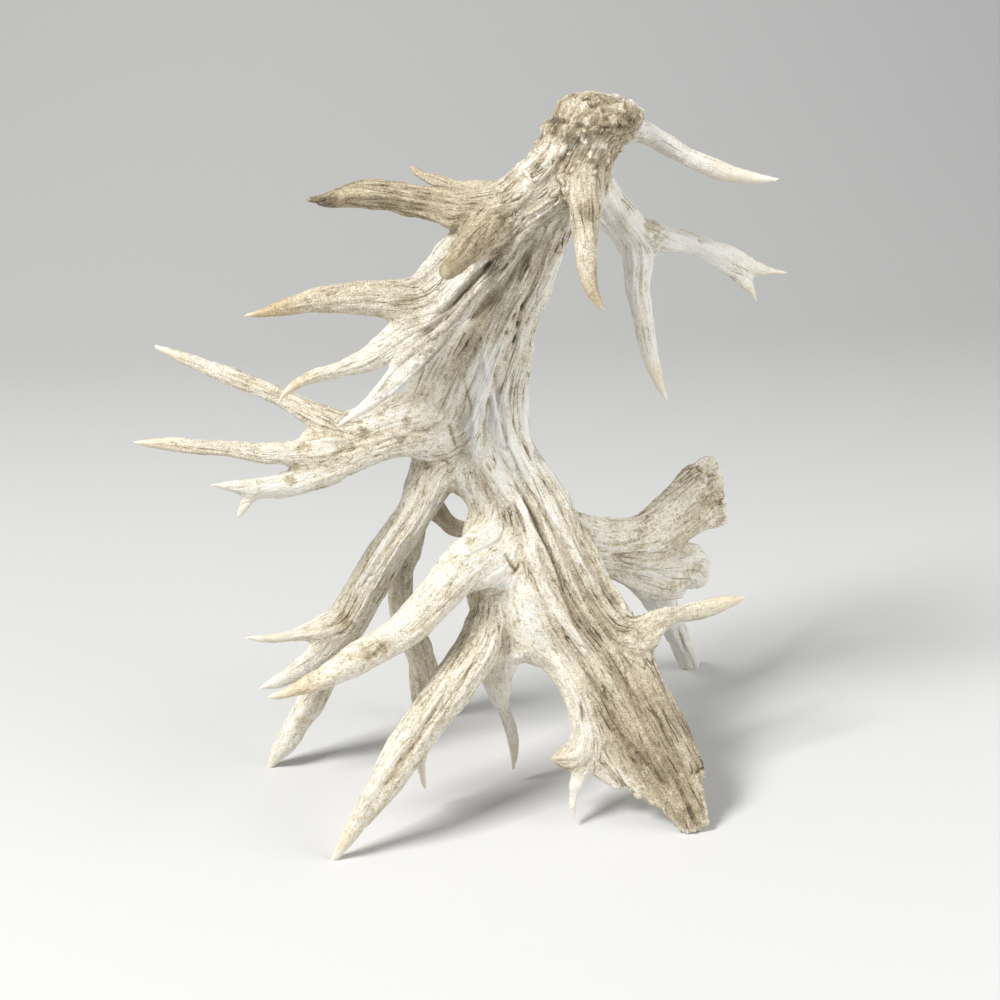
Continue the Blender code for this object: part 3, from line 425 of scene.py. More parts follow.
# Marks that are clearly seen one by one, drawn as short lines: the deep pores on the trunk and the pale
# pearls on the neck, each as points down it in mm
PORE_LINE = (2.8, -1.4, 0.95, 0)
PORES = (
    ((28, -25, 313), (27, -26, 310), (26, -26, 307)), ((30, -24, 307), (29, -24, 303)),
    ((28, -24, 299), (27, -24, 296), (25, -25, 293)), ((6, -30, 300), (6, -31, 297)),
    ((33, -24, 317), (32, -24, 314)), ((23, -27, 303), (22, -27, 299)), ((37, -16, 295), (36, -17, 290)),
)
PEARL_LINE = (3.4, 1.5, -0.34, 0)
NECK_PEARLS = (
    ((71, -50, 415), (70, -49, 412), (69, -49, 410)), ((62, -48, 413), (64, -48, 409)),
    ((61, -47, 407), (59, -46, 405), (57, -47, 402)), ((57, -47, 402), (55, -47, 399)),
    ((64, -48, 403), (67, -49, 401)), ((71, -48, 406), (76, -47, 404)),
    ((79, -48, 412), (80, -47, 409), (81, -45, 405)), ((84, -45, 410), (83, -45, 408), (83, -43, 404)),
    ((81, -44, 403), (82, -42, 400)), ((53, -42, 412), (51, -42, 408)), ((67, -49, 419), (65, -49, 416)),
    ((74, -51, 418), (74, -50, 414)),
)

# Broad bands of stain, and bands of painted shade where the fan and the beam shade the trunk: width in mm,
# stain, and points down the band in mm
BANDS = (
    (18, 0.32, ((43, -48, 369), (31, -50, 358), (19, -56, 347), (10, -57, 334), (-1, -60, 324),
        (-12, -61, 313), (-23, -64, 302), (-34, -69, 292))),
    # Painted shadow on the trunk just below the lower margin of the fan
    (22, 0.38, ((26, -26, 325), (17, -28, 315), (7, -30, 304), (-3, -29, 292), (-13, -29, 281),
        (-23, -30, 270))),
    # Painted shadow under the beam, at the top of the trunk
    (30, 0.22, ((61, -63, 371), (56, -24, 356), (46, -25, 346), (36, -25, 336), (27, -26, 326))),
    (14, -0.26, ((42, -35, 408), (53, -43, 409), (67, -49, 411), (80, -48, 413), (92, -43, 415))),
    (16, -0.06, ((49, -43, 405), (39, -45, 397), (30, -46, 390))),
    (40, 0.26, ((93, -65, 112), (100, -71, 96), (106, -80, 80), (112, -88, 65), (118, -95, 49),
        (123, -102, 30))),
    (10, -0.24, ((70, -91, 46), (80, -94, 36), (94, -101, 25), (107, -104, 13))),
    (22, 0.08, ((43, -39, 184), (54, -44, 164), (64, -50, 145), (75, -56, 125), (85, -64, 106),
        (94, -72, 90), (103, -81, 77))),
    (26, 0.24, ((74, -77, 77), (82, -85, 64), (92, -94, 50), (104, -100, 35), (115, -105, 21))),
    # Paler bone down the middle of the trunk, partly its own cream and partly painted light over the shade of
    # its ribs
    (56, -0.36, ((7, -31, 278), (8, -29, 254), (11, -31, 235), (16, -33, 216), (23, -38, 198))),
    (30, -0.12, ((6, -41, 187), (12, -54, 165), (21, -56, 138), (33, -60, 112))),
    (16, -0.1, ((36, -59, 112), (48, -63, 96), (58, -72, 83))),
    # Painted shade down the hollow between the fan and the trunk
    (26, 0.12, ((53, -25, 355), (44, -24, 338), (35, -24, 320))),
    (20, -0.12, ((105, 3, 134), (128, 23, 118), (146, 40, 106))),
    (20, -0.08, ((11, -25, 321), (10, -30, 304), (10, -30, 286))),
    (20, 0.14, ((155, 74, 175), (161, 69, 162), (165, 65, 148))),
)

# Brown patches, as x, y, z and radius in mm, and stain
PATCHES = (
    (-67, -35, 245, 5, 0.5), (-41, -32, 249, 4, 0.42), (-45, -35, 239, 4, 0.42),
    (-113, -49, 220, 5, 0.48), (-109, -46, 227, 4, 0.25), (69, -64, 377, 7, 0.3),
    (112, -4, 358, 9, 0.45), (119, -3, 350, 7, 0.3), (-103, -44, 239, 6, 0.3), (-5, -55, 178, 5, 0.25),
    (-16, -67, 171, 6, 0.2), (-66, -110, 131, 6, 0.4), (-58, -106, 133, 5, 0.42), (53, -31, 425, 9, 0.3),
    (54, -39, 422, 8, 0.3), (42, -45, 398, 6, 0.3), (-32, -29, 265, 6, 0.3), (-57, -30, 255, 5, 0.25),
    (-32, -29, 220, 5, 0.3), (46, -92, 40, 6, 0.25), (124, -108, 9, 10, 0.3), (77, -58, 421, 10, 0.25),
    (92, -52, 425, 8, 0.25), (-77, -38, 385, 6, 0.3), (-85, -36, 385, 6, 0.3), (163, 75, 168, 7, 0.25),
    (156, 60, 157, 7, 0.3), (106, 9, 157, 6, 0.2), (-23, -62, 312, 4, 0.25), (-36, -61, 331, 5, 0.22),
    (-90, -23, 114, 5, 0.28), (-88, -108, 130, 5, 0.28), (-126, -17, 40, 5, 0.22),
    (69, -44, 159, 5, 0.2), (83, -50, 133, 5, 0.25), (140, 31, 112, 9, 0.34), (130, 24, 111, 8, 0.3),
    (149, 40, 116, 6, 0.28), (28, -42, 395, 6, 0.3), (55, -46, 404, 6, 0.26),
)

# Grain of the body and steps along limbs and ribs in mm, points round a limb, and how often a lump is
# divided
VOXEL = 1.88
RING_STEP = 4.0
RIB_STEP = 1.0
RING_POINTS = 20
LUMP_GRAIN = 2

# Turns at which the rounded tip of a limb has its rings, radians
TIP_TURNS = (0.5, 1.0, 1.35)

# Passes and rates of the filling of the forks and of the smoothing, how often the normals are renewed,
# and the passes that spread the depth of the hollows
FORK_PASSES = 54
FORK_RATE = 0.45
NORMAL_PASSES = 5
SMOOTH_PASSES = 3
SMOOTH_RATE = 0.4
HOLLOW_PASSES = 6

# The burr at the top of the beam: a crown of lumps, its depth as a part of its width, and the rough
# seal that lies on it, mm
BURR_CENTRE = (73.0, -29.0, 423.0)
BURR_AXIS = (-0.12, -0.08, 0.98)
BURR_RADIUS = 28.0
BURR_DEPTH = 0.8
BURR_LUMPS = 22
BURR_LUMP_SIZE = 3.2
BURR_LUMP_RISE = (-2.5, 0.5)
SEAL_CENTRE = (80.0, -29.0, 426.5)
SEAL_AXIS = (0.10, -0.10, 0.99)
SEAL_RADIUS = 25.0
SEAL_HEIGHT = 10.5
SEAL_SIDES = 24

# How far the lumps of the burr stray: part of a step around it, of its radius, of their size and
# of their length
BURR_STRAY = 0.3
BURR_REACH_RANGE = (0.92, 1.08)
BURR_SIZE_RANGE = (0.8, 1.25)
BURR_LENGTH_RANGE = (0.8, 1.5)

# Large pearls that are fused onto the beam: how many, their size in mm, how much longer than wide they
# are, and how far down the beam they lie in mm
PEARLS = 30
PEARL_SIZE = (1.6, 2.4)
PEARL_LENGTH = 1.5
PEARL_REACH = (4.6, 46.0)

# How sharply the looks of one limb give way to those of the next, the least half width that a limb
# counts as having in mm, and how many points are worked on at once
LIMB_BLEND = 4.0
LEAST_HALF = 2.0
LIMB_BLOCK = 8000

# The field of directions along the limbs: its grain in mm and how often it is spread outwards
FIELD_GRAIN = 4.0
FIELD_SPREADS = 3

# Combed noise: the step along the limbs in mm, and for each kind its grain in mm, its reach along
# the limbs in mm and every how many steps it is read
COMB_STEP = 1.0
COMBS = {
    "middle": (2.6, 28, 2),
    "broad": (6.5, 42, 3),
    "cracks": (3.4, 42, 3),
    "streaks": (2.0, 24, 2),
}

# Random values along each side of a lattice
LATTICE = 64

# Cracks and grooves lie where their combed noise passes zero, and are this wide in mm. The way to that
# place is the noise over its slope per mm: the least slope that counts, and the longest way in mm
CRACK_WIDTH = 0.5
GROOVE_WIDTH = 0.6
LEAST_SLOPE = 0.25
FURTHEST_GAP = 6.0

# How deep a groove is, in depths of a furrow
GROOVE_DEPTH = 1.6

# Cracks show only where a broad noise of this grain in mm is high, and where a limb is furrowed
SHARE_GRAIN = 26.0
CRACK_SHARE = (0.1, 0.7)
CRACK_FURROWS = (0.4, 1.0)

# Roughness on the burr and the breaks: its grains in mm, how far it reaches from the middle of the seal
# in parts of its size and from a broken end in widths of its limb, how wide its wrinkles are, and how
# much the finer grain adds to the wrinkles and to the height
ROUGH_GRAINS = (5.0, 2.0)
BURR_ROUGH_REACH = (1.02, 1.2)
BREAK_REACH = (0.35, 0.8)
WRINKLE_WIDTH = 0.20
FINE_WRINKLE = 0.5
FINE_ROUGH = 0.4

# Unevenness of the whole: grain and height in mm, and the part of it that a worn tip keeps
UNEVEN = ((15.0, 0.55), (7.0, 0.30))
WORN_UNEVEN = 0.3

# How much each kind of furrow, crack and roughness stains the bone, and how much a hollow darkens it, partly
# as dirt and partly as painted shade, how deep a hollow is in mm when its darkening is full, and between what
# parts of that it stays
FURROW_STAIN = 0.05
STREAK_STAIN = 0.05
GROOVE_STAIN = 0.06
BROAD_STAIN = 0.06
CRACK_STAIN = 0.12
HOLLOW_DIRT_AND_SHADE = 0.14
HOLLOW_DEPTH = 0.06
HOLLOW_RANGE = (-0.5, 1.0)
ROUGH_BASE = 0.14
ROUGH_STAIN = 0.42

# Drawn lines: the step down a line in mm, where along it (0 to 1) its fading stops, the grain of the
# beads in mm, their middle and spread, and how far the surface must face the front to be drawn on
LINE_STEP = 1.0
LINE_ENDS = (0.02, 0.98)
BEAD_GRAIN = 2.6
BEAD_MIDDLE = 0.5
BEAD_SPREAD = 0.9
DRAWN_FACING = (-0.2, 0.3)

# Where a patch fades in parts of its radius, and how ragged its edge is
PATCH_EDGE = (0.4, 1.2)
PATCH_RAGGED = 0.25

# Small pearls that are raised on the beam: how many, their height, length and width in mm, how far they
# turn from the way of the limb, and how thick they stand on a limb, at its root and its tip
SMALL_PEARLS = 150
SMALL_PEARL_HEIGHT = (0.8, 1.6)
SMALL_PEARL_LENGTH = (1.8, 5.0)
SMALL_PEARL_WIDTH = (0.8, 1.5)
SMALL_PEARL_TURN = 0.5
PEARLED = {"beam": (1.0, 0.9), "fan_sheet": (0.6, -0.9), "trunk": (0.5, -4.0), "front_tine": (0.3, -0.9)}
PEARL_LEAST = 0.03

# How much paler a small pearl is and how much darker the painted shade in the crease of its rim is, and where
# the rim lies and how wide it is, in sizes of the pearl
PEARL_PALENESS = 0.22
PEARL_RIM_SHADE = 0.30
PEARL_RIM_PLACE = 1.25
PEARL_RIM_WIDTH = (0.1, 0.5)

# Cuts where the antler is parted into its pieces: limb or fork, place along it (0 to 1), and the
# cut's length across the limb and front to back in mm
CUTS = (
    ("brow_tine", 0.20, 40, 40),
    ("front_tine", 0.30, 34, 30),
    ("back_stem", 0.45, 40, 44),
    ("trunk", 0.13, 70, 50),
    ("trunk_middle", 0.5, 124, 54),
    ("side_palm", 0.44, 52, 40),
    ("left_leg", 0.15, 36, 50),
    ("rear_branch", 0.27, 34, 34),
    ("long_tine", 0.30, 34, 40),
    ("front_leg_fork", 0.5, 68, 70),
    ("right_tine", 0.36, 40, 30),
    ("rear_lobe", 0.26, 66, 60),
)

# How far from its plane a cut looks for faces, and how near to it a point counts as on it, mm
CUT_REACH = 2.5
CUT_TOLERANCE = 0.0001

# The way across a fork, where the cut doesn't lie square to a limb: rows as for the limbs
FORK_WAYS = {
    "front_leg_fork": ((16, -59, 116, 60, 20), (-9, -59, 98, 60, 20)),
    "trunk_middle": ((0, -14, 292, 100, 50), (0, -14, 266, 100, 50)),
}

# Values stored on the body that the finish reads
SHADER_VALUES = ("stain", "grey", "furrow", "fleck", "worn", "amber", "cracks", "middle", "streaks")

# Colours of the bone from the lightest stain to the darkest, each with its place (0 to 1), and the
# stain at which the bone is at its darkest
STAIN_STOPS = (("chalk", 0.08), ("cream", 0.22), ("straw", 0.36), ("tan", 0.54), ("brown", 0.76),
               ("dark", 1.0))
FULL_STAIN = 1.5

# Noises of the finish: scale, detail and spread to either side
CLOUD = (60.0, 4.0, 0.20)
MOTTLE = (300.0, 5.0, 0.28)
SPECK = (1300.0, 2.0, 0.50)
BLOT = (420.0, 3.0, 1.0)
GRAIN = (1300.0, 2.0, 1.0)
DULLNESS = (260.0, 2.0, 0.12)

# Fibres of the bone: scale, reach along the limb in metres, and how many noises each is the mean of
LONG_FIBRE = (950.0, 0.0034, 8)
SHORT_FIBRE = (520.0, 0.0012, 3)

# Between what values a mark comes up
FIBRE_EDGE = (0.24, 0.46)
FLECK_EDGE = (0.10, 0.40)
BLOT_EDGE = (0.10, 0.34)
PORE_EDGE = (0.08, 0.20)
PORED_EDGE = (0.56, 0.64)
TIP_EDGE = (0.86, 1.0)

# Thin lines: width in mm, and the scale and the least value of the noise that breaks them off. Then
# the part of their width that is full, and how much more noise it takes until they show in full
RIDGE_LINE = (0.7, 90.0, -0.1)
CRACK_LINE = (0.5, 60.0, 0.05)
SEAM_LINE = (0.45, 110.0, -0.1)
LINE_CORE = 0.2
LINE_RISE = 0.3

# Scales of the pores and of the noise that says where there are any
PORE_SCALE = 400.0
PORED_SCALE = 110.0

# How much each mark stains the bone, and how high it stands
MARK_STAINS = {"cloud": 1.0, "mottle": 1.0, "speck": 1.0, "fleck": 0.16, "blot": 0.20, "fibre": 0.15,
               "pore": 0.32, "crack": 0.52, "seam": 0.24, "ridge": -0.20}
MARK_HEIGHTS = {"mottle": 1.0, "pore": -1.2, "fibre": -0.30, "crack": -2.4, "seam": -1.2, "ridge": 1.2,
                "grain": 1.0}
FURROW_MOTTLE = 0.5
WORN_MARKS = 0.3
WORN_HEIGHT = 0.15
BUMP_STRENGTH = 0.8
BUMP_REACH = 0.00048

# What greyness does to a colour, how cream a tip is, and how much less dull worn bone is
GREY_SATURATION = 0.55
GREY_VALUE = 0.95
TIP_CREAM = 0.6
WORN_GLOSS = -0.20

# Camera: lens and sensor in mm, tilt down and roll in degrees, and place in metres
CAMERA_LENS = 50.4
CAMERA_SENSOR = 36.0
CAMERA_TILT = 19.65
CAMERA_ROLL = 2.2
CAMERA_PLACE = (0.014, -0.855, 0.490)

# Lights: size, place and aim in metres. Then the colour of the light from all round
KEY_LIGHT = (0.8, (-1.4, -1.05, 2.2), (0.0, 0.0, 0.2))
FILL_LIGHT = (1.0, (1.3, -0.6, 0.8), (0.0, 0.0, 0.2))
SKY_COLOUR = (0.93, 0.96, 1.0, 1.0)

# The floor in metres: its front edge, where it starts to rise, how wide the curve is, and its top. Then
# the points round the curve, and how dull the floor is
FLOOR_PROFILE = (-3.0, 1.2, 1.6, 5.0)
FLOOR_STEPS = 24
FLOOR_ROUGHNESS = 0.75

# The least that a length or a reach counts as, where something is divided by it
NEAR_ZERO = 1e-9


def step_lengths(rows):
    """How far it is from each row to the next."""
    return np.linalg.norm(np.diff(rows[:, :3], axis=0), axis=1)


def resample(rows, step):
    """Smooth rows through the given rows, about one step apart."""
    rows = np.array(rows, dtype=float)
    along = np.concatenate(([0.0], np.cumsum(step_lengths(rows))))
    slopes = np.gradient(rows, along, axis=0)
    count = max(3, int(round(along[-1] / step)) + 1)
    places = np.linspace(0.0, along[-1], count)
    start = np.clip(np.searchsorted(along, places, side="right") - 1, 0, len(rows) - 2)
    span = (along[start + 1] - along[start])[:, None]
    u = (places - along[start])[:, None] / span
    return ((2 * u**3 - 3 * u**2 + 1) * rows[start] + (u**3 - 2 * u**2 + u) * span * slopes[start]
            + (3 * u**2 - 2 * u**3) * rows[start + 1] + (u**3 - u**2) * span * slopes[start + 1])


def unit(vectors):
    """The vectors at length one."""
    return vectors / np.maximum(np.linalg.norm(vectors, axis=-1, keepdims=True), NEAR_ZERO)


def ease(values, low, high):
    """0 below low, 1 above high, and a smooth rise between."""
    part = np.clip((values - low) / (high - low), 0.0, 1.0)
    return part * part * (3 - 2 * part)


def limb_frame(name):
    """Smooth rows of a limb, and the directions along it, across it and out of its front."""
    rows = resample(BRANCHES[name] if name in BRANCHES else FORK_WAYS[name], RING_STEP)
    ahead = unit(np.gradient(rows[:, :3], axis=0))
    seen = np.array(ABOVE if name in SEEN_FROM_ABOVE else FRONT)
    across = unit(np.cross(ahead, seen))
    if across[:, 0].sum() < 0:
        across = -across
    out = unit(np.cross(across, ahead))
    if (out @ seen).sum() < 0:
        out = -out
    return rows, ahead, across, out


def loft(work, rows, ahead, across, out, broken=False):
    """Add a closed body through elliptical rings, with rounded ends."""
    rings = [(row[:3], row[3] / 2, row[4] / 2) for row in rows]
    if not broken:
        tip = rings[-1]
        reach = min(tip[1], tip[2])
        for angle in TIP_TURNS:
            centre = tip[0] + ahead[-1] * reach * math.sin(angle)
            rings.append((centre, tip[1] * math.cos(angle), tip[2] * math.cos(angle)))
    loops = []
    for index, (centre, half_width, half_depth) in enumerate(rings):
        at = min(index, len(rows) - 1)
        loop = []
        for k in range(RING_POINTS):
            turn = 2 * math.pi * k / RING_POINTS
            point = centre + across[at] * half_width * math.cos(turn) + out[at] * half_depth * math.sin(turn)
            loop.append(work.verts.new(point))
        loops.append(loop)
    faces = []
    for near, far in zip(loops, loops[1:]):
        for k in range(RING_POINTS):
            m = (k + 1) % RING_POINTS
            faces.append(work.faces.new((near[k], near[m], far[m], far[k])))
    faces.append(work.faces.new(loops[0]))
    faces.append(work.faces.new(loops[-1]))
    bmesh.ops.recalc_face_normals(work, faces=faces)


def add_lump(work, centre, radius, stretch):
    """Add a rounded lump, stretched along X, Y and Z."""
    place = Matrix.Translation(centre) @ Matrix.Diagonal((*stretch, 1.0))
    bmesh.ops.create_icosphere(work, subdivisions=LUMP_GRAIN, radius=radius, matrix=place)


def add_burr(work, chance):
    """Add the rough seal and the crown of lumps around it."""
    axis = Vector(BURR_AXIS).normalized()
    turned = axis.to_track_quat("Z", "Y").to_matrix().to_4x4()
    level = Vector(SEAL_AXIS).to_track_quat("Z", "Y").to_matrix().to_4x4()
    centre = Vector(BURR_CENTRE)
    flat = Matrix.Diagonal((1.0, 1.0, SEAL_HEIGHT / SEAL_RADIUS, 1.0))
    seal = Matrix.Translation(SEAL_CENTRE) @ level @ flat
    bmesh.ops.create_uvsphere(work, u_segments=SEAL_SIDES, v_segments=SEAL_SIDES // 2, radius=SEAL_RADIUS,
                              matrix=seal)
    for k in range(BURR_LUMPS):
        turn = 2 * math.pi * (k + BURR_STRAY * chance.uniform(-1, 1)) / BURR_LUMPS
        reach = BURR_RADIUS * chance.uniform(*BURR_REACH_RANGE)
        rise = chance.uniform(*BURR_LUMP_RISE)
        place = turned @ Vector((reach * math.cos(turn), reach * BURR_DEPTH * math.sin(turn), rise))
        size = BURR_LUMP_SIZE * chance.uniform(*BURR_SIZE_RANGE)
        add_lump(work, centre + place, size, (1.0, 1.0, chance.uniform(*BURR_LENGTH_RANGE)))


def add_pearls(work, chance):
    """Add the pearls on the beam below the burr."""
    rows, ahead, across, out = limb_frame("beam")
    steps = np.linalg.norm(rows[:, :3] - rows[0, :3], axis=1)
    for k in range(PEARLS):
        reach = chance.uniform(*PEARL_REACH)
        at = int(np.argmin(abs(steps - reach)))
        turn = chance.uniform(0.0, 2 * math.pi)
        point = (rows[at, :3] + across[at] * math.cos(turn) * rows[at, 3] / 2
                 + out[at] * math.sin(turn) * rows[at, 4] / 2)
        add_lump(work, Vector(point), chance.uniform(*PEARL_SIZE), (1.0, 1.0, PEARL_LENGTH))


def take_alone(thing):
    """Deselect everything and make one object the active one."""
    bpy.ops.object.select_all(action="DESELECT")
    thing.select_set(True)
    bpy.context.view_layer.objects.active = thing


def add_object(name, data):
    """Add an object to the scene."""
    thing = bpy.data.objects.new(name, data)
    bpy.context.scene.collection.objects.link(thing)
    return thing


def apply_modifier(body, kind, **settings):
    """Give a body a modifier with its settings, and apply it."""
    take_alone(body)
    modifier = body.modifiers.new(kind.lower(), kind)
    for name, value in settings.items():
        setattr(modifier, name, value)
    bpy.ops.object.modifier_apply(modifier=modifier.name)


def read_items(items, name, width=1):
    """One property of many items as an array, with a row for each item where it has several numbers."""
    values = np.empty(len(items) * width, dtype=np.float32)
    items.foreach_get(name, values)
    values = values.astype(float)
    return values.reshape(-1, width) if width > 1 else values


def read_mesh(mesh):
    """Points and edges of a mesh as arrays."""
    edges = np.empty(len(mesh.edges) * 2, dtype=np.int32)
    mesh.edges.foreach_get("vertices", edges)
    return read_items(mesh.vertices, "co", 3), edges.reshape(-1, 2)


def write_points(mesh, points):
    """Move the points of a mesh."""
    mesh.vertices.foreach_set("co", points.astype(np.float32).ravel())
    mesh.update()


def read_values(mesh, name, width=1):
    """The values or vectors of one named attribute at the points of a mesh."""
    return read_items(mesh.attributes[name].data, "value" if width == 1 else "vector", width)


def write_values(mesh, name, values):
    """Store one value or vector for each point of a mesh under a name."""
    kind, key = ("FLOAT", "value") if values.ndim == 1 else ("FLOAT_VECTOR", "vector")
    attribute = mesh.attributes.get(name) or mesh.attributes.new(name, kind, "POINT")
    attribute.data.foreach_set(key, values.astype(np.float32).ravel())


def toward_neighbours(points, edges):
    """For each point, the way to the middle of its neighbours."""
    count = len(points)
    total = np.zeros_like(points)
    degree = np.bincount(edges.ravel(), minlength=count).astype(float)
    for axis in range(points.shape[1]):
        values = points[:, axis]
        total[:, axis] = (np.bincount(edges[:, 0], weights=values[edges[:, 1]], minlength=count)
                          + np.bincount(edges[:, 1], weights=values[edges[:, 0]], minlength=count))
    return total / degree[:, None] - points


def point_normals(mesh):
    """The normals at the points of a mesh."""
    return read_items(mesh.vertex_normals, "vector", 3)


def fuse_limbs():
    """Fuse all limbs and lumps into one closed body."""
    chance = np.random.default_rng(SEED)
    work = bmesh.new()
    for name in BRANCHES:
        loft(work, *limb_frame(name), broken=name in BROKEN)
    add_burr(work, chance)
    add_pearls(work, chance)
    mesh = bpy.data.meshes.new("antler_body")
    work.to_mesh(mesh)
    work.free()
    body = add_object("antler_body", mesh)
    apply_modifier(body, "REMESH", mode="VOXEL", voxel_size=VOXEL)
    return body


def fill_forks(body):
    """Fill the hollow corners at the forks."""
    points, edges = read_mesh(body.data)
    for k in range(FORK_PASSES):
        if k % NORMAL_PASSES == 0:
            write_points(body.data, points)
            normals = point_normals(body.data)
        hollow = (toward_neighbours(points, edges) * normals).sum(axis=1)
        points = points + normals * (np.clip(hollow, 0.0, None) * FORK_RATE)[:, None]
    write_points(body.data, points)


def rib_line(rib):
    """Points down the middle of a rib, the way out of the limb there, and its height."""
    name, start, end, place_start, place_end, width, height = rib
    rows, ahead, across, out = limb_frame(name)
    along = np.linspace(0.0, 1.0, len(rows))
    length = step_lengths(rows).sum()
    u = np.linspace(0.0, 1.0, int(length * (end - start) / RIB_STEP) + 2)
    at = start + (end - start) * u
    place = place_start + (place_end - place_start) * u
    columns = np.hstack((rows, across, out))
    values = np.stack([np.interp(at, along, column) for column in columns.T], axis=1)
    middle, sizes, across, out = values[:, :3], values[:, 3:5] / 2, values[:, 5:8], values[:, 8:]
    side = (place * sizes[:, 0])[:, None]
    rise = (np.sqrt(1 - place**2) * sizes[:, 1])[:, None]
    return middle + across * side + out * rise, out, height * np.sin(np.pi * u)**0.5


def nearest_on(line, points, width):
    """The points within about a width of a line, and for each the nearest place on it and how far that is."""
    low, high = line.min(axis=0) - width, line.max(axis=0) + width
    close = np.nonzero(((points > low) & (points < high)).all(axis=1))[0]
    nearest = np.empty(len(close), dtype=int)
    gap = np.empty(len(close))
    for start in range(0, len(close), LIMB_BLOCK):
        part = slice(start, start + LIMB_BLOCK)
        gaps = ((points[close[part], None, :] - line[None, :, :])**2).sum(axis=2)
        nearest[part] = gaps.argmin(axis=1)
        gap[part] = np.sqrt(gaps.min(axis=1))
    return close, nearest, gap


def bell(gaps, width):
    """1 on a line, about a seventh at half its width from it, and near 0 beyond."""
    return np.exp(-2 * (2 * gaps / width)**2)


def raise_ribs(body):
    """Raise the ribs and sink the furrows."""
    points = read_mesh(body.data)[0]
    normals = point_normals(body.data)
    lift = np.zeros(len(points))
    for rib in RIBS:
        line, out, height = rib_line(rib)
        width = rib[5]
        close, nearest, gap = nearest_on(line, points, width)
        facing = np.clip((normals[close] * out[nearest]).sum(axis=1), 0.0, 1.0)
        lift[close] += height[nearest] * bell(gap, width) * facing
    write_points(body.data, points + normals * lift[:, None])


def smooth(body):
    """Smooth the whole a little."""
    points, edges = read_mesh(body.data)
    for k in range(SMOOTH_PASSES):
        points = points + toward_neighbours(points, edges) * SMOOTH_RATE
    write_points(body.data, points)


def limb_table():
    """One table row for each ring of each limb: its frame, its sizes and its looks."""
    table = {"centre": [], "half": [], "ahead": [], "across": [], "out": [], "looks": []}
    for name in BRANCHES:
        rows, ahead, across, out = limb_frame(name)
        along = np.linspace(0.0, 1.0, len(rows))[:, None]
        root, tip = (np.array(look) for look in LIMB_LOOKS.get(name, LIMB_LOOKS[""]))
        to_tip = np.concatenate((np.cumsum(step_lengths(rows)[::-1])[::-1], [0.0]))
        reach, amber = WORN_TIPS.get(name, (0.0, 0.0))
        start, end = PEARLED.get(name, (0.0, 0.0))
        worn = 1 - ease(to_tip, 0.0, reach + NEAR_ZERO)
        # The tint is full where a tip is half worn, and gone at both ends of the wear
        amber = amber * 4 * worn * (1 - worn)
        table["centre"].append(rows[:, :3])
        table["half"].append(np.maximum(rows[:, 3:5] / 2, LEAST_HALF))
        table["ahead"].append(ahead)
        table["across"].append(across)
        table["out"].append(out)
        table["looks"].append(np.hstack((root + (tip - root) * along, worn[:, None], amber[:, None],
                                        np.clip(start + (end - start) * along, 0.0, None))))
    return {key: np.vstack(parts) for key, parts in table.items()}


def blend_limbs(points):
    """Direction along the limbs and the limbs' looks at each point."""
    table = limb_table()
    directions = np.empty((len(points), 3))
    looks = np.empty((len(points), table["looks"].shape[1]))
    axes = ((table["across"], table["half"][:, 0]), (table["out"], table["half"][:, 1]),
            (table["ahead"], np.full(len(table["half"]), 2 * RING_STEP)))
    for start in range(0, len(points), LIMB_BLOCK):
        block = points[start:start + LIMB_BLOCK]
        reach = np.zeros((len(block), len(table["half"])))
        for axis, size in axes:
            away = (block @ axis.T - (table["centre"] * axis).sum(axis=1)) / size
            reach += away**2
        reach = np.sqrt(reach)
        weight = np.exp(-LIMB_BLEND * (reach - reach.min(axis=1, keepdims=True)))
        weight /= weight.sum(axis=1, keepdims=True)
        directions[start:start + LIMB_BLOCK] = weight @ table["ahead"]
        looks[start:start + LIMB_BLOCK] = weight @ table["looks"]
    return unit(directions), looks


def build_field(points, directions):
    """A grid of directions along the limbs, spread a little beyond the surface."""
    low = points.min(axis=0) - FIELD_GRAIN * (FIELD_SPREADS + 1)
    shape = np.ceil((points.max(axis=0) - low) / FIELD_GRAIN).astype(int) + FIELD_SPREADS + 2
    cells = ((points - low) / FIELD_GRAIN).astype(int)
    flat = (cells[:, 0] * shape[1] + cells[:, 1]) * shape[2] + cells[:, 2]
    grid = np.stack([np.bincount(flat, weights=directions[:, axis], minlength=shape.prod())
                     for axis in range(3)], axis=1).reshape(*shape, 3)
    for k in range(FIELD_SPREADS):
        empty = ~grid.any(axis=3)
        spread = np.zeros_like(grid)
        for axis in range(3):
            spread += np.roll(grid, 1, axis) + np.roll(grid, -1, axis)
        grid[empty] = spread[empty]
    return low, shape, unit(grid).reshape(-1, 3)


def along_field(field, points):
    """The direction of the field at each point."""
    low, shape, grid = field
    cells = np.clip(((points - low) / FIELD_GRAIN).astype(np.int64), 0, shape - 1)
    return grid[(cells[:, 0] * shape[1] + cells[:, 1]) * shape[2] + cells[:, 2]]


def lattice_values(lattice, points, grain):
    """Values of an endlessly repeated random lattice at points."""
    total = np.zeros(len(points), dtype=np.float32)
    places, parts = [], []
    for axis in range(3):
        place = points[:, axis] / grain
        base = np.floor(place)
        part = (place - base).astype(np.float32)
        part = part * part * (3 - 2 * part)
        base = base.astype(np.int32)
        stride = LATTICE**(2 - axis)
        places.append((base % LATTICE * stride, (base + 1) % LATTICE * stride))
        parts.append((1 - part, part))
    for i in range(2):
        for j in range(2):
            place = places[0][i] + places[1][j]
            part = parts[0][i] * parts[1][j]
            for k in range(2):
                total += lattice[place + places[2][k]] * (part * parts[2][k])
    return total


def new_lattice(chance):
    """A cube of random values."""
    return chance.standard_normal(LATTICE**3).astype(np.float32)


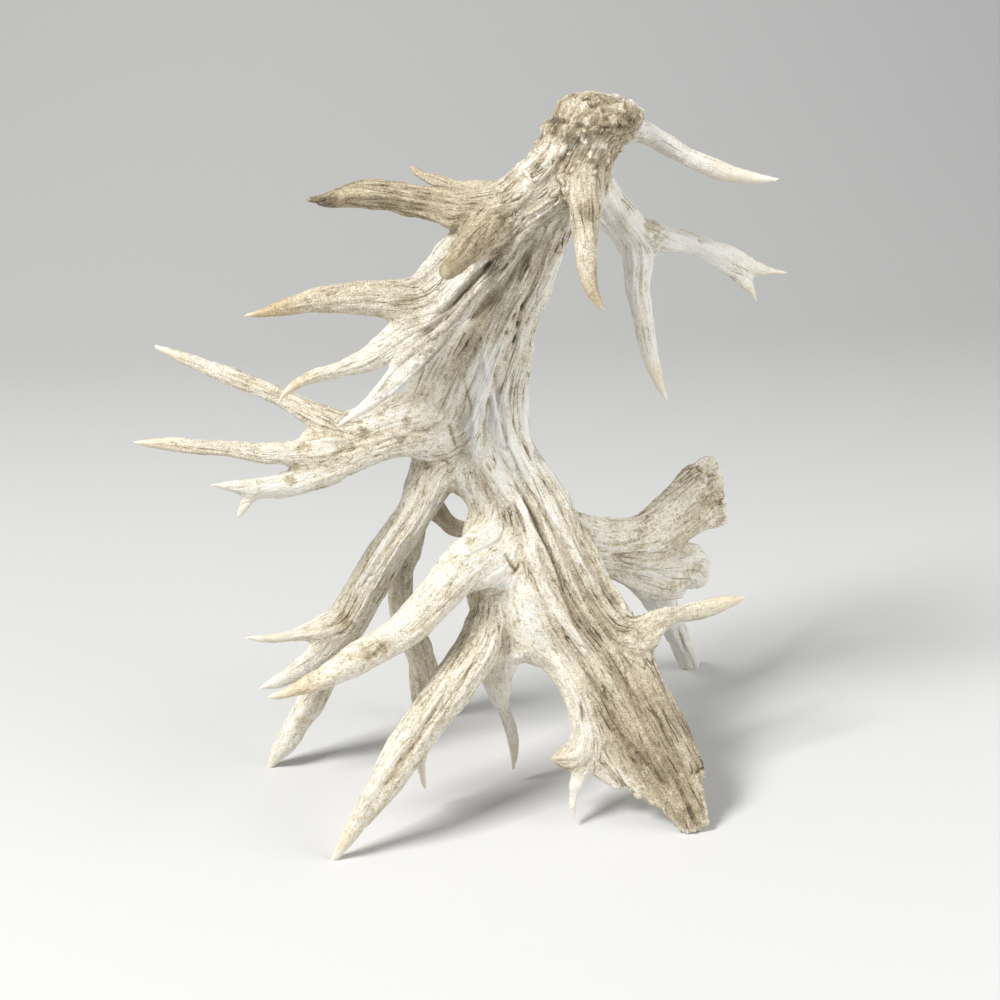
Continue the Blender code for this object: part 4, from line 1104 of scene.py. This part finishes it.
def comb_noise(points, field, chance):
    """Random values drawn out along the limbs, for each kind of comb, each with a spread of one."""
    lattices = {kind: new_lattice(chance) for kind in COMBS}
    sums = {kind: lattice_values(lattices[kind], points, COMBS[kind][0]) for kind in COMBS}
    furthest = max(reach for grain, reach, every in COMBS.values())
    for way in (1, -1):
        place = points.copy()
        for step in range(1, furthest + 1):
            place += along_field(field, place) * (way * COMB_STEP)
            for kind, (grain, reach, every) in COMBS.items():
                if step <= reach and step % every == 0:
                    weight = math.cos(0.5 * math.pi * step / (reach + 1))
                    sums[kind] += lattice_values(lattices[kind], place, grain) * weight
    return {kind: (values - values.mean()) / values.std() for kind, values in sums.items()}


def line_gaps(values, points, edges):
    """How far each point lies from the line where some values pass zero, in mm, below zero on one side."""
    first, second = edges.T
    slope = abs(values[first] - values[second]) / np.linalg.norm(points[first] - points[second], axis=1)
    steepest = np.full(len(points), LEAST_SLOPE)
    np.maximum.at(steepest, first, slope)
    np.maximum.at(steepest, second, slope)
    return np.clip(values / steepest, -FURTHEST_GAP, FURTHEST_GAP)


def lay_out_looks(body):
    """Store the limbs' looks, their direction and the depth of the hollows, and return the field."""
    points, edges = read_mesh(body.data)
    directions, looks = blend_limbs(points)
    for name, values in zip(LOOK_NAMES, looks.T):
        write_values(body.data, name, values)
    write_values(body.data, "flow", directions)
    normals = point_normals(body.data)
    hollow = (toward_neighbours(points, edges) * normals).sum(axis=1, keepdims=True)
    for k in range(HOLLOW_PASSES):
        hollow = hollow + toward_neighbours(hollow, edges) * SMOOTH_RATE
    write_values(body.data, "hollow", hollow[:, 0])
    return build_field(points, directions)


def broken_ends(points):
    """1 at the broken ends of the limbs, and 0 away from them."""
    mask = np.zeros(len(points))
    for name in BROKEN:
        rows = np.array(BRANCHES[name], dtype=float)
        gap = np.linalg.norm((points - rows[-1, :3]) / rows[-1, 3], axis=1)
        mask = np.maximum(mask, 1 - ease(gap, *BREAK_REACH))
    return mask


def near_line(points, rows, width):
    """The points near a drawn line, and how strongly each lies on it."""
    line = resample(rows, LINE_STEP)
    close, nearest, gap = nearest_on(line, points, width)
    along = nearest / max(len(line) - 1, 1)
    return close, bell(gap, width) * np.sin(np.pi * np.clip(along, *LINE_ENDS))**0.5


def draw_lines(points, normals, chance):
    """Lift and stain of the lines, bands and patches, with the painted shade that some bands and one groove
    carry.
    """
    lift = np.zeros(len(points))
    stain = np.zeros(len(points))
    beads = BEAD_MIDDLE + BEAD_SPREAD * lattice_values(new_lattice(chance), points, BEAD_GRAIN)
    facing = ease(normals @ unit(np.array(FRONT)), *DRAWN_FACING)
    pores = [(*PORE_LINE, rows) for rows in PORES]
    pearls = [(*PEARL_LINE, rows) for rows in NECK_PEARLS]
    for width, height, shade, beaded, rows in (*LINES, *pores, *pearls):
        close, share = near_line(points, rows, width)
        share = share * facing[close] * (1 - beaded + beaded * beads[close])
        lift[close] += height * share
        stain[close] += shade * share
    for width, shade, rows in BANDS:
        close, share = near_line(points, rows, width)
        stain[close] += shade * share * facing[close]
    for x, y, z, radius, shade in PATCHES:
        gap = np.linalg.norm(points - np.array((x, y, z)), axis=1) / radius
        stain += shade * (1 - ease(gap + PATCH_RAGGED * beads, *PATCH_EDGE))
    return lift, stain


def raise_pearls(points, directions, thick, chance):
    """How far the small pearls rise at each point, and how much each is pearl or the crease around one."""
    region = np.nonzero(thick > PEARL_LEAST)[0]
    share = thick[region] / thick[region].sum()
    chosen = chance.choice(region, size=SMALL_PEARLS, replace=False, p=share)
    lift = np.zeros(len(points))
    pearl = np.zeros(len(points))
    rim = np.zeros(len(points))
    around = points[region]
    for middle in chosen:
        ways = around - points[middle]
        along = ways @ unit(directions[middle] + chance.normal(0.0, SMALL_PEARL_TURN, 3))
        beside = (ways**2).sum(axis=1) - along**2
        length, width = chance.uniform(*SMALL_PEARL_LENGTH), chance.uniform(*SMALL_PEARL_WIDTH)
        reach = np.sqrt((along / length)**2 + beside / width**2)
        dome = np.sqrt(np.clip(1 - reach**2, 0.0, 1.0))
        lift[region] = np.maximum(lift[region], dome * chance.uniform(*SMALL_PEARL_HEIGHT))
        pearl[region] = np.maximum(pearl[region], dome)
        rim[region] = np.maximum(rim[region], 1 - ease(abs(reach - PEARL_RIM_PLACE), *PEARL_RIM_WIDTH))
    return lift, pearl, rim * (1 - pearl)


def burr_part(points):
    """1 on the seal of the burr, and 0 away from it."""
    ways = points - np.array(SEAL_CENTRE)
    rise = ways @ unit(np.array(SEAL_AXIS))
    beside = np.sqrt(np.clip((ways**2).sum(axis=1) - rise**2, 0.0, None))
    return 1 - ease(np.hypot(beside / SEAL_RADIUS, rise / SEAL_HEIGHT), *BURR_ROUGH_REACH)


def ridge(values, width):
    """1 where values pass zero, and falling off to 0 beyond a width."""
    return np.exp(-(values / width)**2)


def grow_relief(body, field, shape):
    """Raise the furrows, cracks and rough parts, and store the values that the finish reads."""
    chance = np.random.default_rng(SEED + 1)
    points, edges = read_mesh(body.data)
    normals = point_normals(body.data)
    directions = unit(read_values(body.data, "flow", 3))
    looks = {name: read_values(body.data, name) for name in (*LOOK_NAMES, "hollow")}
    combs = comb_noise(points, field, chance)
    coarse, fine = (lattice_values(new_lattice(chance), points, grain) for grain in ROUGH_GRAINS)
    share = lattice_values(new_lattice(chance), points, SHARE_GRAIN)
    burr = burr_part(points)
    rough = np.maximum(burr, broken_ends(points))
    unworn = 1 - looks["worn"]
    furrow = looks["furrow"] * unworn
    gaps = {name: line_gaps(combs[name], points, edges) for name in ("cracks", "middle", "streaks")}
    crack = ridge(gaps["cracks"], CRACK_WIDTH) * ease(share, *CRACK_SHARE) * ease(furrow, *CRACK_FURROWS)
    groove = ridge(gaps["middle"], GROOVE_WIDTH)
    wrinkle = np.maximum(ridge(coarse, WRINKLE_WIDTH), FINE_WRINKLE * ridge(fine, WRINKLE_WIDTH))
    lift = furrow * (combs["middle"] * shape.furrow_depth + combs["broad"] * shape.flute_depth * furrow
                     - groove * shape.furrow_depth * GROOVE_DEPTH)
    lift -= crack * shape.crack_depth
    lift += rough * shape.rough_height * (wrinkle + FINE_ROUGH * fine)
    for grain, height in UNEVEN:
        uneven = lattice_values(new_lattice(chance), points, grain) * height
        lift += uneven * (WORN_UNEVEN + (1 - WORN_UNEVEN) * unworn)
    # The drawn lines and bands carry real stains and also painted shade beside the fan and under the beam
    line_lift, line_stain_and_shade = draw_lines(points, normals, chance)
    pearl_lift, pearl, rim = raise_pearls(points, directions, looks["pearl"] * (1 - burr), chance)
    lift += line_lift + pearl_lift
    write_points(body.data, points + normals * lift[:, None])
    # Hollows are darkened partly as dirt and partly as painted shade
    hollow = np.clip(looks["hollow"] / HOLLOW_DEPTH, *HOLLOW_RANGE) * unworn
    stain = looks["stain"] + line_stain_and_shade + CRACK_STAIN * crack + HOLLOW_DIRT_AND_SHADE * hollow
    stain += furrow * (FURROW_STAIN + STREAK_STAIN * combs["streaks"] + GROOVE_STAIN * groove)
    stain += burr * ROUGH_BASE - BROAD_STAIN * combs["broad"] * furrow - ROUGH_STAIN * rough * wrinkle
    # The rim around each small pearl is painted shade in its crease
    stain += PEARL_RIM_SHADE * rim - PEARL_PALENESS * pearl
    for name, values in (("stain", stain), ("furrow", np.minimum(furrow, 1.0)), *gaps.items()):
        write_values(body.data, name, values)


def wear_feet(body):
    """Cut the feet off flat where the antler stands."""
    work = bmesh.new()
    work.from_mesh(body.data)
    low = [v for v in work.verts if v.co.z < CUT_REACH]
    edges = {edge for vert in low for edge in vert.link_edges}
    faces = {face for vert in low for face in vert.link_faces}
    bmesh.ops.bisect_plane(work, geom=[*low, *edges, *faces], dist=CUT_TOLERANCE, plane_co=(0, 0, 0),
                           plane_no=(0, 0, -1), clear_outer=True)
    bmesh.ops.holes_fill(work, edges=[edge for edge in work.edges if edge.is_boundary], sides=0)
    work.to_mesh(body.data)
    work.free()


def faces_near_cut(centres, cut):
    """The numbers of the faces that one cut goes through, and the plane of the cut."""
    name, place, across_length, through_length = cut
    rows, ahead, across, out = limb_frame(name)
    at = int(round(place * (len(rows) - 1)))
    ways = centres - rows[at, :3]
    near = ((abs(ways @ ahead[at]) < CUT_REACH) & (abs(ways @ across[at]) < across_length / 2)
            & (abs(ways @ out[at]) < through_length / 2))
    return np.nonzero(near)[0], rows[at, :3], ahead[at]


def part_body(body):
    """Part the body at its main forks, and keep the normals that the whole has there."""
    centres = read_items(body.data.polygons, "center", 3)
    work = bmesh.new()
    work.from_mesh(body.data)
    work.faces.ensure_lookup_table()
    rim = work.verts.layers.float_vector.new("rim_normal")
    found = [faces_near_cut(centres, cut) for cut in CUTS]
    found = [([work.faces[number] for number in numbers], place, ahead) for numbers, place, ahead in found]
    split = []
    for faces, place, ahead in found:
        edges = {edge for face in faces for edge in face.edges}
        verts = {vert for face in faces for vert in face.verts}
        made = bmesh.ops.bisect_plane(work, geom=[*verts, *edges, *faces], dist=CUT_TOLERANCE,
                                      plane_co=place, plane_no=ahead)
        split += [item for item in made["geom_cut"] if isinstance(item, bmesh.types.BMEdge)]
    work.normal_update()
    for edge in split:
        for vert in edge.verts:
            vert[rim] = vert.normal
    bmesh.ops.split_edges(work, edges=split)
    bmesh.ops.transform(work, matrix=Matrix.Scale(MM, 4), verts=work.verts[:])
    work.to_mesh(body.data)
    work.free()
    take_alone(body)
    bpy.ops.object.mode_set(mode="EDIT")
    bpy.ops.mesh.select_all(action="SELECT")
    bpy.ops.mesh.separate(type="LOOSE")
    bpy.ops.object.mode_set(mode="OBJECT")


def raw_part(limb, place):
    """The part of the body that a place on a limb lies in."""
    rows = limb_frame(limb)[0]
    point = rows[int(place * (len(rows) - 1)), :3] * MM
    parts = [thing for thing in bpy.data.objects if thing.name.startswith("antler_body")]
    if not parts:
        raise RuntimeError("the body isn't grown yet, or all its parts are taken")
    gaps = [np.linalg.norm(read_mesh(part.data)[0] - point, axis=1).min() for part in parts]
    return parts[gaps.index(min(gaps))]


def close_part(part):
    """Cap a part where it was cut, and shade its rim as the whole antler's."""
    work = bmesh.new()
    work.from_mesh(part.data)
    open_edges = [edge for edge in work.edges if edge.is_boundary]
    made = bmesh.ops.holes_fill(work, edges=open_edges, sides=0)
    bmesh.ops.triangulate(work, faces=made["faces"])
    work.to_mesh(part.data)
    work.free()
    part.data.polygons.foreach_set("use_smooth", np.ones(len(part.data.polygons), dtype=bool))
    normals = point_normals(part.data)
    rim = read_values(part.data, "rim_normal", 3)
    kept = rim.any(axis=1)
    normals[kept] = rim[kept]
    part.data.normals_split_custom_set_from_vertices(unit(normals))
    part.data.attributes.remove(part.data.attributes["rim_normal"])


class Term:
    """A value in the shader, which can be added to, taken from, multiplied and divided."""

    def __init__(self, tree, socket):
        self.tree = tree
        self.socket = socket

    def work(self, operation, *values):
        """The result of one sum on values and terms."""
        node = add_node(self.tree, "ShaderNodeMath", enumerate(values), operation=operation)
        return Term(self.tree, node.outputs[0])

    def __add__(self, other):
        return self.work("ADD", self, other)

    def __rsub__(self, other):
        return self.work("SUBTRACT", other, self)

    def __sub__(self, other):
        return self.work("SUBTRACT", self, other)

    def __mul__(self, other):
        return self.work("MULTIPLY", self, other)

    def __truediv__(self, other):
        return self.work("DIVIDE", self, other)

    def __abs__(self):
        return self.work("ABSOLUTE", self)

    __radd__ = __add__


def join(tree, value, socket):
    """Give a socket a value, or join a term or another socket to it."""
    if isinstance(value, Term):
        value = value.socket
    if isinstance(value, bpy.types.NodeSocket):
        tree.links.new(value, socket)
    else:
        socket.default_value = value


def add_node(tree, kind, inputs=(), **settings):
    """Add a shader node with its settings. An input is a value, a term or a socket."""
    node = tree.nodes.new(kind)
    for name, value in settings.items():
        setattr(node, name, value)
    for key, value in dict(inputs).items():
        join(tree, value, node.inputs[key])
    return node


def stored(tree, name, output="Fac"):
    """A value or vector that is stored on the piece."""
    node = add_node(tree, "ShaderNodeAttribute", attribute_name=name, attribute_type="GEOMETRY")
    return Term(tree, node.outputs[output])


def raw_noise(tree, place, scale, detail=0.0):
    """Noise between 0 and 1."""
    node = add_node(tree, "ShaderNodeTexNoise", {"Vector": place, "Scale": scale, "Detail": detail})
    return Term(tree, node.outputs["Fac"])


def noise_of(tree, place, scale, detail, spread):
    """Noise around zero, with the given spread to either side."""
    return (raw_noise(tree, place, scale, detail) - 0.5) * (2 * spread)


def step_of(value, low, high):
    """0 where a term is below low, 1 above high, and a smooth rise between."""
    node = add_node(value.tree, "ShaderNodeMapRange", {"Value": value, "From Min": low, "From Max": high},
                    interpolation_type="SMOOTHSTEP")
    return Term(value.tree, node.outputs["Result"])


def mix_of(tree, share, first, second, blend="MIX"):
    """Two colours mixed."""
    node = add_node(tree, "ShaderNodeMix", data_type="RGBA", blend_type=blend)
    for key, value in (("Factor_Float", share), ("A_Color", first), ("B_Color", second)):
        join(tree, value, next(item for item in node.inputs if item.identifier == key))
    return next(item for item in node.outputs if item.identifier == "Result_Color")


def stain_ramp(stain, colours):
    """The colour of bone for each strength of stain."""
    ramp = add_node(stain.tree, "ShaderNodeValToRGB", {"Fac": stain / FULL_STAIN})
    elements = ramp.color_ramp.elements
    while len(elements) < len(STAIN_STOPS):
        elements.new(0.5)
    for element, (name, place) in zip(elements, STAIN_STOPS):
        element.position = place
        element.color = (*getattr(colours, name), 1.0)
    return ramp.outputs["Color"]


def fibre_of(tree, place, flow, scale, reach, taps):
    """Noise drawn out along the limbs: the mean of several noises a step apart along them."""
    noises = []
    for k in range(taps):
        step = (2 * k / (taps - 1) - 1) * reach
        moved = add_node(tree, "ShaderNodeVectorMath", {0: flow, 1: (step, step, step), 2: place},
                         operation="MULTIPLY_ADD")
        noises.append(raw_noise(tree, moved.outputs["Vector"], scale))
    return (sum(noises) / taps - 0.5) * (2.0 * taps**0.5)


def thin_lines(tree, place, value, width, scale, least):
    """Thin lines where a stored value passes zero, broken off where a broad noise is low."""
    off = step_of(abs(value), LINE_CORE * width, width)
    shown = step_of(noise_of(tree, place, scale, 1.0, 1.0), least, least + LINE_RISE)
    return (1.0 - off) * shown


def bone_marks(tree, place, value, unworn):
    """All marks on the bone. Noises lie around zero, and the others go from 0 to 1."""
    flow = stored(tree, "flow", "Vector")
    furrow, fleck = value["furrow"], value["fleck"]
    pits = add_node(tree, "ShaderNodeTexVoronoi", {"Vector": place, "Scale": PORE_SCALE})
    pits = Term(tree, pits.outputs["Distance"])
    pored = step_of(raw_noise(tree, place, PORED_SCALE, 1.0), *PORED_EDGE)
    return {
        "cloud": noise_of(tree, place, *CLOUD),
        "mottle": noise_of(tree, place, *MOTTLE) * (1.0 - furrow * FURROW_MOTTLE),
        "speck": noise_of(tree, place, *SPECK),
        "grain": noise_of(tree, place, *GRAIN),
        "fleck": step_of(fibre_of(tree, place, flow, *SHORT_FIBRE), *FLECK_EDGE) * fleck,
        "blot": step_of(noise_of(tree, place, *BLOT), *BLOT_EDGE) * fleck,
        "fibre": step_of(fibre_of(tree, place, flow, *LONG_FIBRE), *FIBRE_EDGE) * furrow,
        "ridge": thin_lines(tree, place, value["streaks"], *RIDGE_LINE) * furrow,
        "crack": thin_lines(tree, place, value["cracks"], *CRACK_LINE) * furrow,
        "seam": thin_lines(tree, place, value["middle"], *SEAM_LINE) * furrow,
        "pore": (1.0 - step_of(pits, *PORE_EDGE)) * pored * unworn,
    }


def bone_colour(stain, value, colours):
    """The bone's colour by its stain, greyed, tinted below the tips and creamy at them."""
    tree = stain.tree
    colour = stain_ramp(stain, colours)
    pale = add_node(tree, "ShaderNodeHueSaturation",
                    {"Color": colour, "Saturation": GREY_SATURATION, "Value": GREY_VALUE})
    colour = mix_of(tree, value["grey"], colour, pale.outputs["Color"])
    colour = mix_of(tree, value["amber"], colour, (*colours.amber, 1.0), "MULTIPLY")
    return mix_of(tree, step_of(value["worn"], *TIP_EDGE) * TIP_CREAM, colour, (*colours.cream, 1.0))


def bone_material(colours):
    """Dry, weathered antler: stained along its furrows, flecked, pored, and worn smooth at the tips."""
    material = bpy.data.materials.get("weathered_antler") or bpy.data.materials.new("weathered_antler")
    material.use_nodes = True
    tree = material.node_tree
    tree.nodes.clear()
    place = add_node(tree, "ShaderNodeTexCoord").outputs["Object"]
    value = {name: stored(tree, name) for name in SHADER_VALUES}
    unworn = 1.0 - value["worn"]
    marks = bone_marks(tree, place, value, unworn)
    surface = sum(marks[name] * strength for name, strength in MARK_STAINS.items())
    stain = value["stain"] + surface * (unworn * (1 - WORN_MARKS) + WORN_MARKS)
    relief = sum(marks[name] * strength for name, strength in MARK_HEIGHTS.items())
    bump = add_node(tree, "ShaderNodeBump", {"Height": relief * (unworn + WORN_HEIGHT),
                                             "Strength": BUMP_STRENGTH, "Distance": BUMP_REACH})
    shader = add_node(tree, "ShaderNodeBsdfPrincipled", {
        "Base Color": bone_colour(stain, value, colours),
        "Roughness": noise_of(tree, place, *DULLNESS) + value["worn"] * WORN_GLOSS + colours.roughness,
        "Normal": bump.outputs["Normal"],
    })
    output = add_node(tree, "ShaderNodeOutputMaterial")
    tree.links.new(shader.outputs["BSDF"], output.inputs["Surface"])
    return material


def finish_limb(name, node, limb, place):
    """Take a limb's part of the body, close it, and let it stand for its node."""
    part = raw_part(limb, place)
    close_part(part)
    part.name = part.data.name = name
    part.data.materials.clear()
    part.data.materials.append(bone_material(bpy.context.scene.antler_colours))
    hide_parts(node)
    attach(part, "root")


def amount_property(name, description, default, low=0.0, **limits):
    """One amount that a user can change."""
    return bpy.props.FloatProperty(name=name, description=description, default=default, min=low, **limits)


def colour_property(name, description, default):
    """One colour that a user can change."""
    return bpy.props.FloatVectorProperty(name=name, description=description, default=default, size=3,
                                         min=0.0, max=1.0, subtype="COLOR")


class AntlerShape(bpy.types.PropertyGroup):
    """Depth of what the surface shows, in mm."""

    furrow_depth: amount_property("Furrows", "Depth of the furrows between the ridges, in mm", 0.46, max=1.0)
    flute_depth: amount_property("Flutes", "Depth of the broad flutes on the trunk, in mm", 0.60, max=2.0)
    crack_depth: amount_property("Cracks", "Depth of the drying cracks, in mm", 0.60, max=2.0)
    rough_height: amount_property("Roughness", "Height of the knobs on the burr and the breaks, in mm", 1.0,
                                  max=2.0)


class AntlerColours(bpy.types.PropertyGroup):
    """Colours of the bone, from bleached to stained."""

    chalk: colour_property("Chalk", "Bleached bone", (0.81, 0.79, 0.735))
    cream: colour_property("Cream", "Clean bone", (0.765, 0.708, 0.585))
    straw: colour_property("Straw", "Lightly stained bone", (0.59, 0.512, 0.365))
    tan: colour_property("Tan", "Stained bone", (0.39, 0.312, 0.195))
    brown: colour_property("Brown", "Bone in the furrows and patches", (0.21, 0.155, 0.085))
    dark: colour_property("Dark", "Bone in the deepest cracks and pits", (0.075, 0.057, 0.038))
    amber: colour_property("Amber", "Tint of the worn bone below the tips", (0.86, 0.72, 0.48))
    roughness: amount_property("Roughness", "How dull the bone is", 0.66, max=1.0, subtype="FACTOR")


class AntlerStage(bpy.types.PropertyGroup):
    """Floor and light."""

    floor: colour_property("Floor", "Colour of the floor", (0.60, 0.595, 0.58))
    floor_width: amount_property("Floor width", "Width of the floor and of the backdrop it rises into", 9.0,
                                 low=1.0, unit="LENGTH")
    key_power: amount_property("Key light", "Power of the large light above the front, in watts", 93.0)
    fill_power: amount_property("Fill light", "Power of the soft light from the side, in watts", 14.0)
    sky: amount_property("Room light", "Strength of the light from all round", 0.36)


class GrowBody(bpy.types.Operator):
    """Grow the whole antler as one body and part it at its main forks"""

    bl_idname = "antler.grow_body"
    bl_label = "Grow body"

    def execute(self, context):
        body = fuse_limbs()
        fill_forks(body)
        raise_ribs(body)
        smooth(body)
        field = lay_out_looks(body)
        apply_modifier(body, "SUBSURF", levels=1, render_levels=1)
        grow_relief(body, field, context.scene.antler_shape)
        wear_feet(body)
        part_body(body)
        return {"FINISHED"}


class LimbMaker:
    """What all limb operators share: each takes its parts of the body, as piece, node, limb and place."""

    parts = ()

    def execute(self, context):
        for part in self.parts:
            finish_limb(*part)
        return {"FINISHED"}


class UpperFan(LimbMaker, bpy.types.Operator):
    """Finish the burr, the short beam and the fan below it"""

    bl_idname = "antler.upper_fan"
    bl_label = "Burr and upper fan"
    parts = (("burr_beam_and_fan", "beam_and_upper_fan", "beam", 0.5),)


class BurrTines(LimbMaker, bpy.types.Operator):
    """Finish the brow tine, the front tine and the forked back tine"""

    bl_idname = "antler.burr_tines"
    bl_label = "Tines by the burr"
    parts = (("smooth_brow_tine", "brow_tine", "brow_tine", 0.6),
             ("amber_front_tine", "front_tine", "front_tine", 0.7),
             ("back_tine_and_prongs", "forked_back_tine", "back_long_tine", 0.5))


class Trunk(LimbMaker, bpy.types.Operator):
    """Finish the ribbed trunk, its palm, the knobbed branch and the blade"""

    bl_idname = "antler.trunk"
    bl_label = "Trunk, palm and blade"
    parts = (("upper_trunk", "trunk_and_blade", "trunk", 0.2),
             ("palm_and_blade", "trunk_and_blade", "trunk", 0.6),
             ("small_right_tine", "right_tine", "right_tine", 0.7))


class SidePalm(LimbMaker, bpy.types.Operator):
    """Finish the small palm at the left with its tines"""

    bl_idname = "antler.side_palm"
    bl_label = "Side palm"
    parts = (("side_palm_and_tines", "side_palm", "side_palm", 0.9),)


class LeftLeg(LimbMaker, bpy.types.Operator):
    """Finish the left leg with its spurs and its foot, and the branch behind it"""

    bl_idname = "antler.left_leg"
    bl_label = "Left leg"
    parts = (("left_leg_and_spurs", "left_leg", "left_leg", 0.8),
             ("branch_behind_leg", "rear_branch", "rear_branch", 0.7))


class FrontLegs(LimbMaker, bpy.types.Operator):
    """Finish the long tine in front, and the foremost leg with its spur and the hanging tine"""

    bl_idname = "antler.front_legs"
    bl_label = "Long tine and front leg"
    parts = (("long_front_tine", "long_tine", "long_tine", 0.6),
             ("front_leg_and_spurs", "front_leg", "front_leg", 0.7))


class RearLobe(LimbMaker, bpy.types.Operator):
    """Finish the broken lobe at the right, its wedge and the rear leg"""

    bl_idname = "antler.rear_lobe"
    bl_label = "Rear lobe"
    parts = (("rear_lobe_and_leg", "rear_lobe", "rear_lobe", 0.7),)


def add_area_light(name, power, size, place, aim):
    """Add a square soft light that looks at a point."""
    light = bpy.data.lights.new(name, "AREA")
    light.energy = power
    light.size = size
    lamp = add_object(name, light)
    lamp.location = place
    lamp.rotation_euler = (Vector(aim) - Vector(place)).to_track_quat("-Z", "Y").to_euler()


def add_camera():
    """Add the camera where the picture is taken from."""
    tilt, roll = math.radians(CAMERA_TILT), math.radians(CAMERA_ROLL)
    ahead = Vector((0.0, math.cos(tilt), -math.sin(tilt)))
    upright = Vector((0.0, math.sin(tilt), math.cos(tilt)))
    level = Vector((1.0, 0.0, 0.0))
    right = level * math.cos(roll) - upright * math.sin(roll)
    up = level * math.sin(roll) + upright * math.cos(roll)
    lens = bpy.data.cameras.new("camera")
    lens.lens = CAMERA_LENS
    lens.sensor_width = CAMERA_SENSOR
    camera = add_object("camera", lens)
    turned = Matrix((right, up, -ahead)).transposed().to_4x4()
    camera.matrix_world = Matrix.Translation(CAMERA_PLACE) @ turned
    bpy.context.scene.camera = camera


def add_floor(width):
    """Add the floor, which rises behind the antler in a wide curve."""
    front, foot, bend, top = FLOOR_PROFILE
    turns = np.linspace(0.0, 0.5 * math.pi, FLOOR_STEPS)
    profile = [(front, 0.0)]
    profile += [(foot + bend * math.sin(turn), bend - bend * math.cos(turn)) for turn in turns]
    profile.append((foot + bend, top))
    points = [(side * width / 2, y, z) for y, z in profile for side in (-1, 1)]
    faces = [(2 * k, 2 * k + 1, 2 * k + 3, 2 * k + 2) for k in range(len(profile) - 1)]
    mesh = bpy.data.meshes.new("pale_floor")
    mesh.from_pydata(points, [], faces)
    mesh.polygons.foreach_set("use_smooth", np.ones(len(faces), dtype=bool))
    return add_object("pale_floor", mesh)


def floor_material(colour):
    """A plain pale floor."""
    material = bpy.data.materials.new("pale_floor")
    material.use_nodes = True
    shader = material.node_tree.nodes["Principled BSDF"]
    shader.inputs["Base Color"].default_value = (*colour, 1.0)
    shader.inputs["Roughness"].default_value = FLOOR_ROUGHNESS
    return material


class SetStage(bpy.types.Operator):
    """Lay the floor, and set the lights and the camera"""

    bl_idname = "antler.set_stage"
    bl_label = "Floor, light and camera"

    def execute(self, context):
        stage = context.scene.antler_stage
        floor = add_floor(stage.floor_width)
        floor.data.materials.append(floor_material(stage.floor))
        add_area_light("key_light", stage.key_power, *KEY_LIGHT)
        add_area_light("fill_light", stage.fill_power, *FILL_LIGHT)
        world = bpy.data.worlds.new("soft_room")
        world.use_nodes = True
        sky = world.node_tree.nodes["Background"]
        sky.inputs["Color"].default_value = SKY_COLOUR
        sky.inputs["Strength"].default_value = stage.sky
        context.scene.world = world
        context.scene.view_settings.view_transform = "Standard"
        add_camera()
        return {"FINISHED"}


LIMB_OPERATORS = (UpperFan, BurrTines, Trunk, SidePalm, LeftLeg, FrontLegs, RearLobe)


class AntlerPanel(bpy.types.Panel):
    """Lists the steps that make the antler, and its settings"""

    bl_idname = "ANTLER_PT_steps"
    bl_label = "Whitetail antler"
    bl_space_type = "VIEW_3D"
    bl_region_type = "UI"
    bl_category = "Antler"

    def draw(self, context):
        for maker in (GrowBody, *LIMB_OPERATORS, SetStage):
            self.layout.operator(maker.bl_idname)
        for group in (context.scene.antler_shape, context.scene.antler_colours, context.scene.antler_stage):
            box = self.layout.box()
            for name in group.__annotations__:
                box.prop(group, name)


CLASSES = (AntlerShape, AntlerColours, AntlerStage, GrowBody, *LIMB_OPERATORS, SetStage, AntlerPanel)


def register():
    """Register the classes and their settings."""
    for kind in CLASSES:
        bpy.utils.register_class(kind)
    bpy.types.Scene.antler_shape = bpy.props.PointerProperty(type=AntlerShape)
    bpy.types.Scene.antler_colours = bpy.props.PointerProperty(type=AntlerColours)
    bpy.types.Scene.antler_stage = bpy.props.PointerProperty(type=AntlerStage)


def unregister():
    """Remove the settings and the classes."""
    del bpy.types.Scene.antler_stage
    del bpy.types.Scene.antler_colours
    del bpy.types.Scene.antler_shape
    for kind in reversed(CLASSES):
        bpy.utils.unregister_class(kind)


def main():
    """Make the antler and its stage."""
    register()
    bpy.ops.antler.grow_body()
    bpy.ops.antler.upper_fan()
    bpy.ops.antler.burr_tines()
    bpy.ops.antler.trunk()
    bpy.ops.antler.side_palm()
    bpy.ops.antler.left_leg()
    bpy.ops.antler.front_legs()
    bpy.ops.antler.rear_lobe()
    bpy.ops.antler.set_stage()


if __name__ == "__main__":
    main()
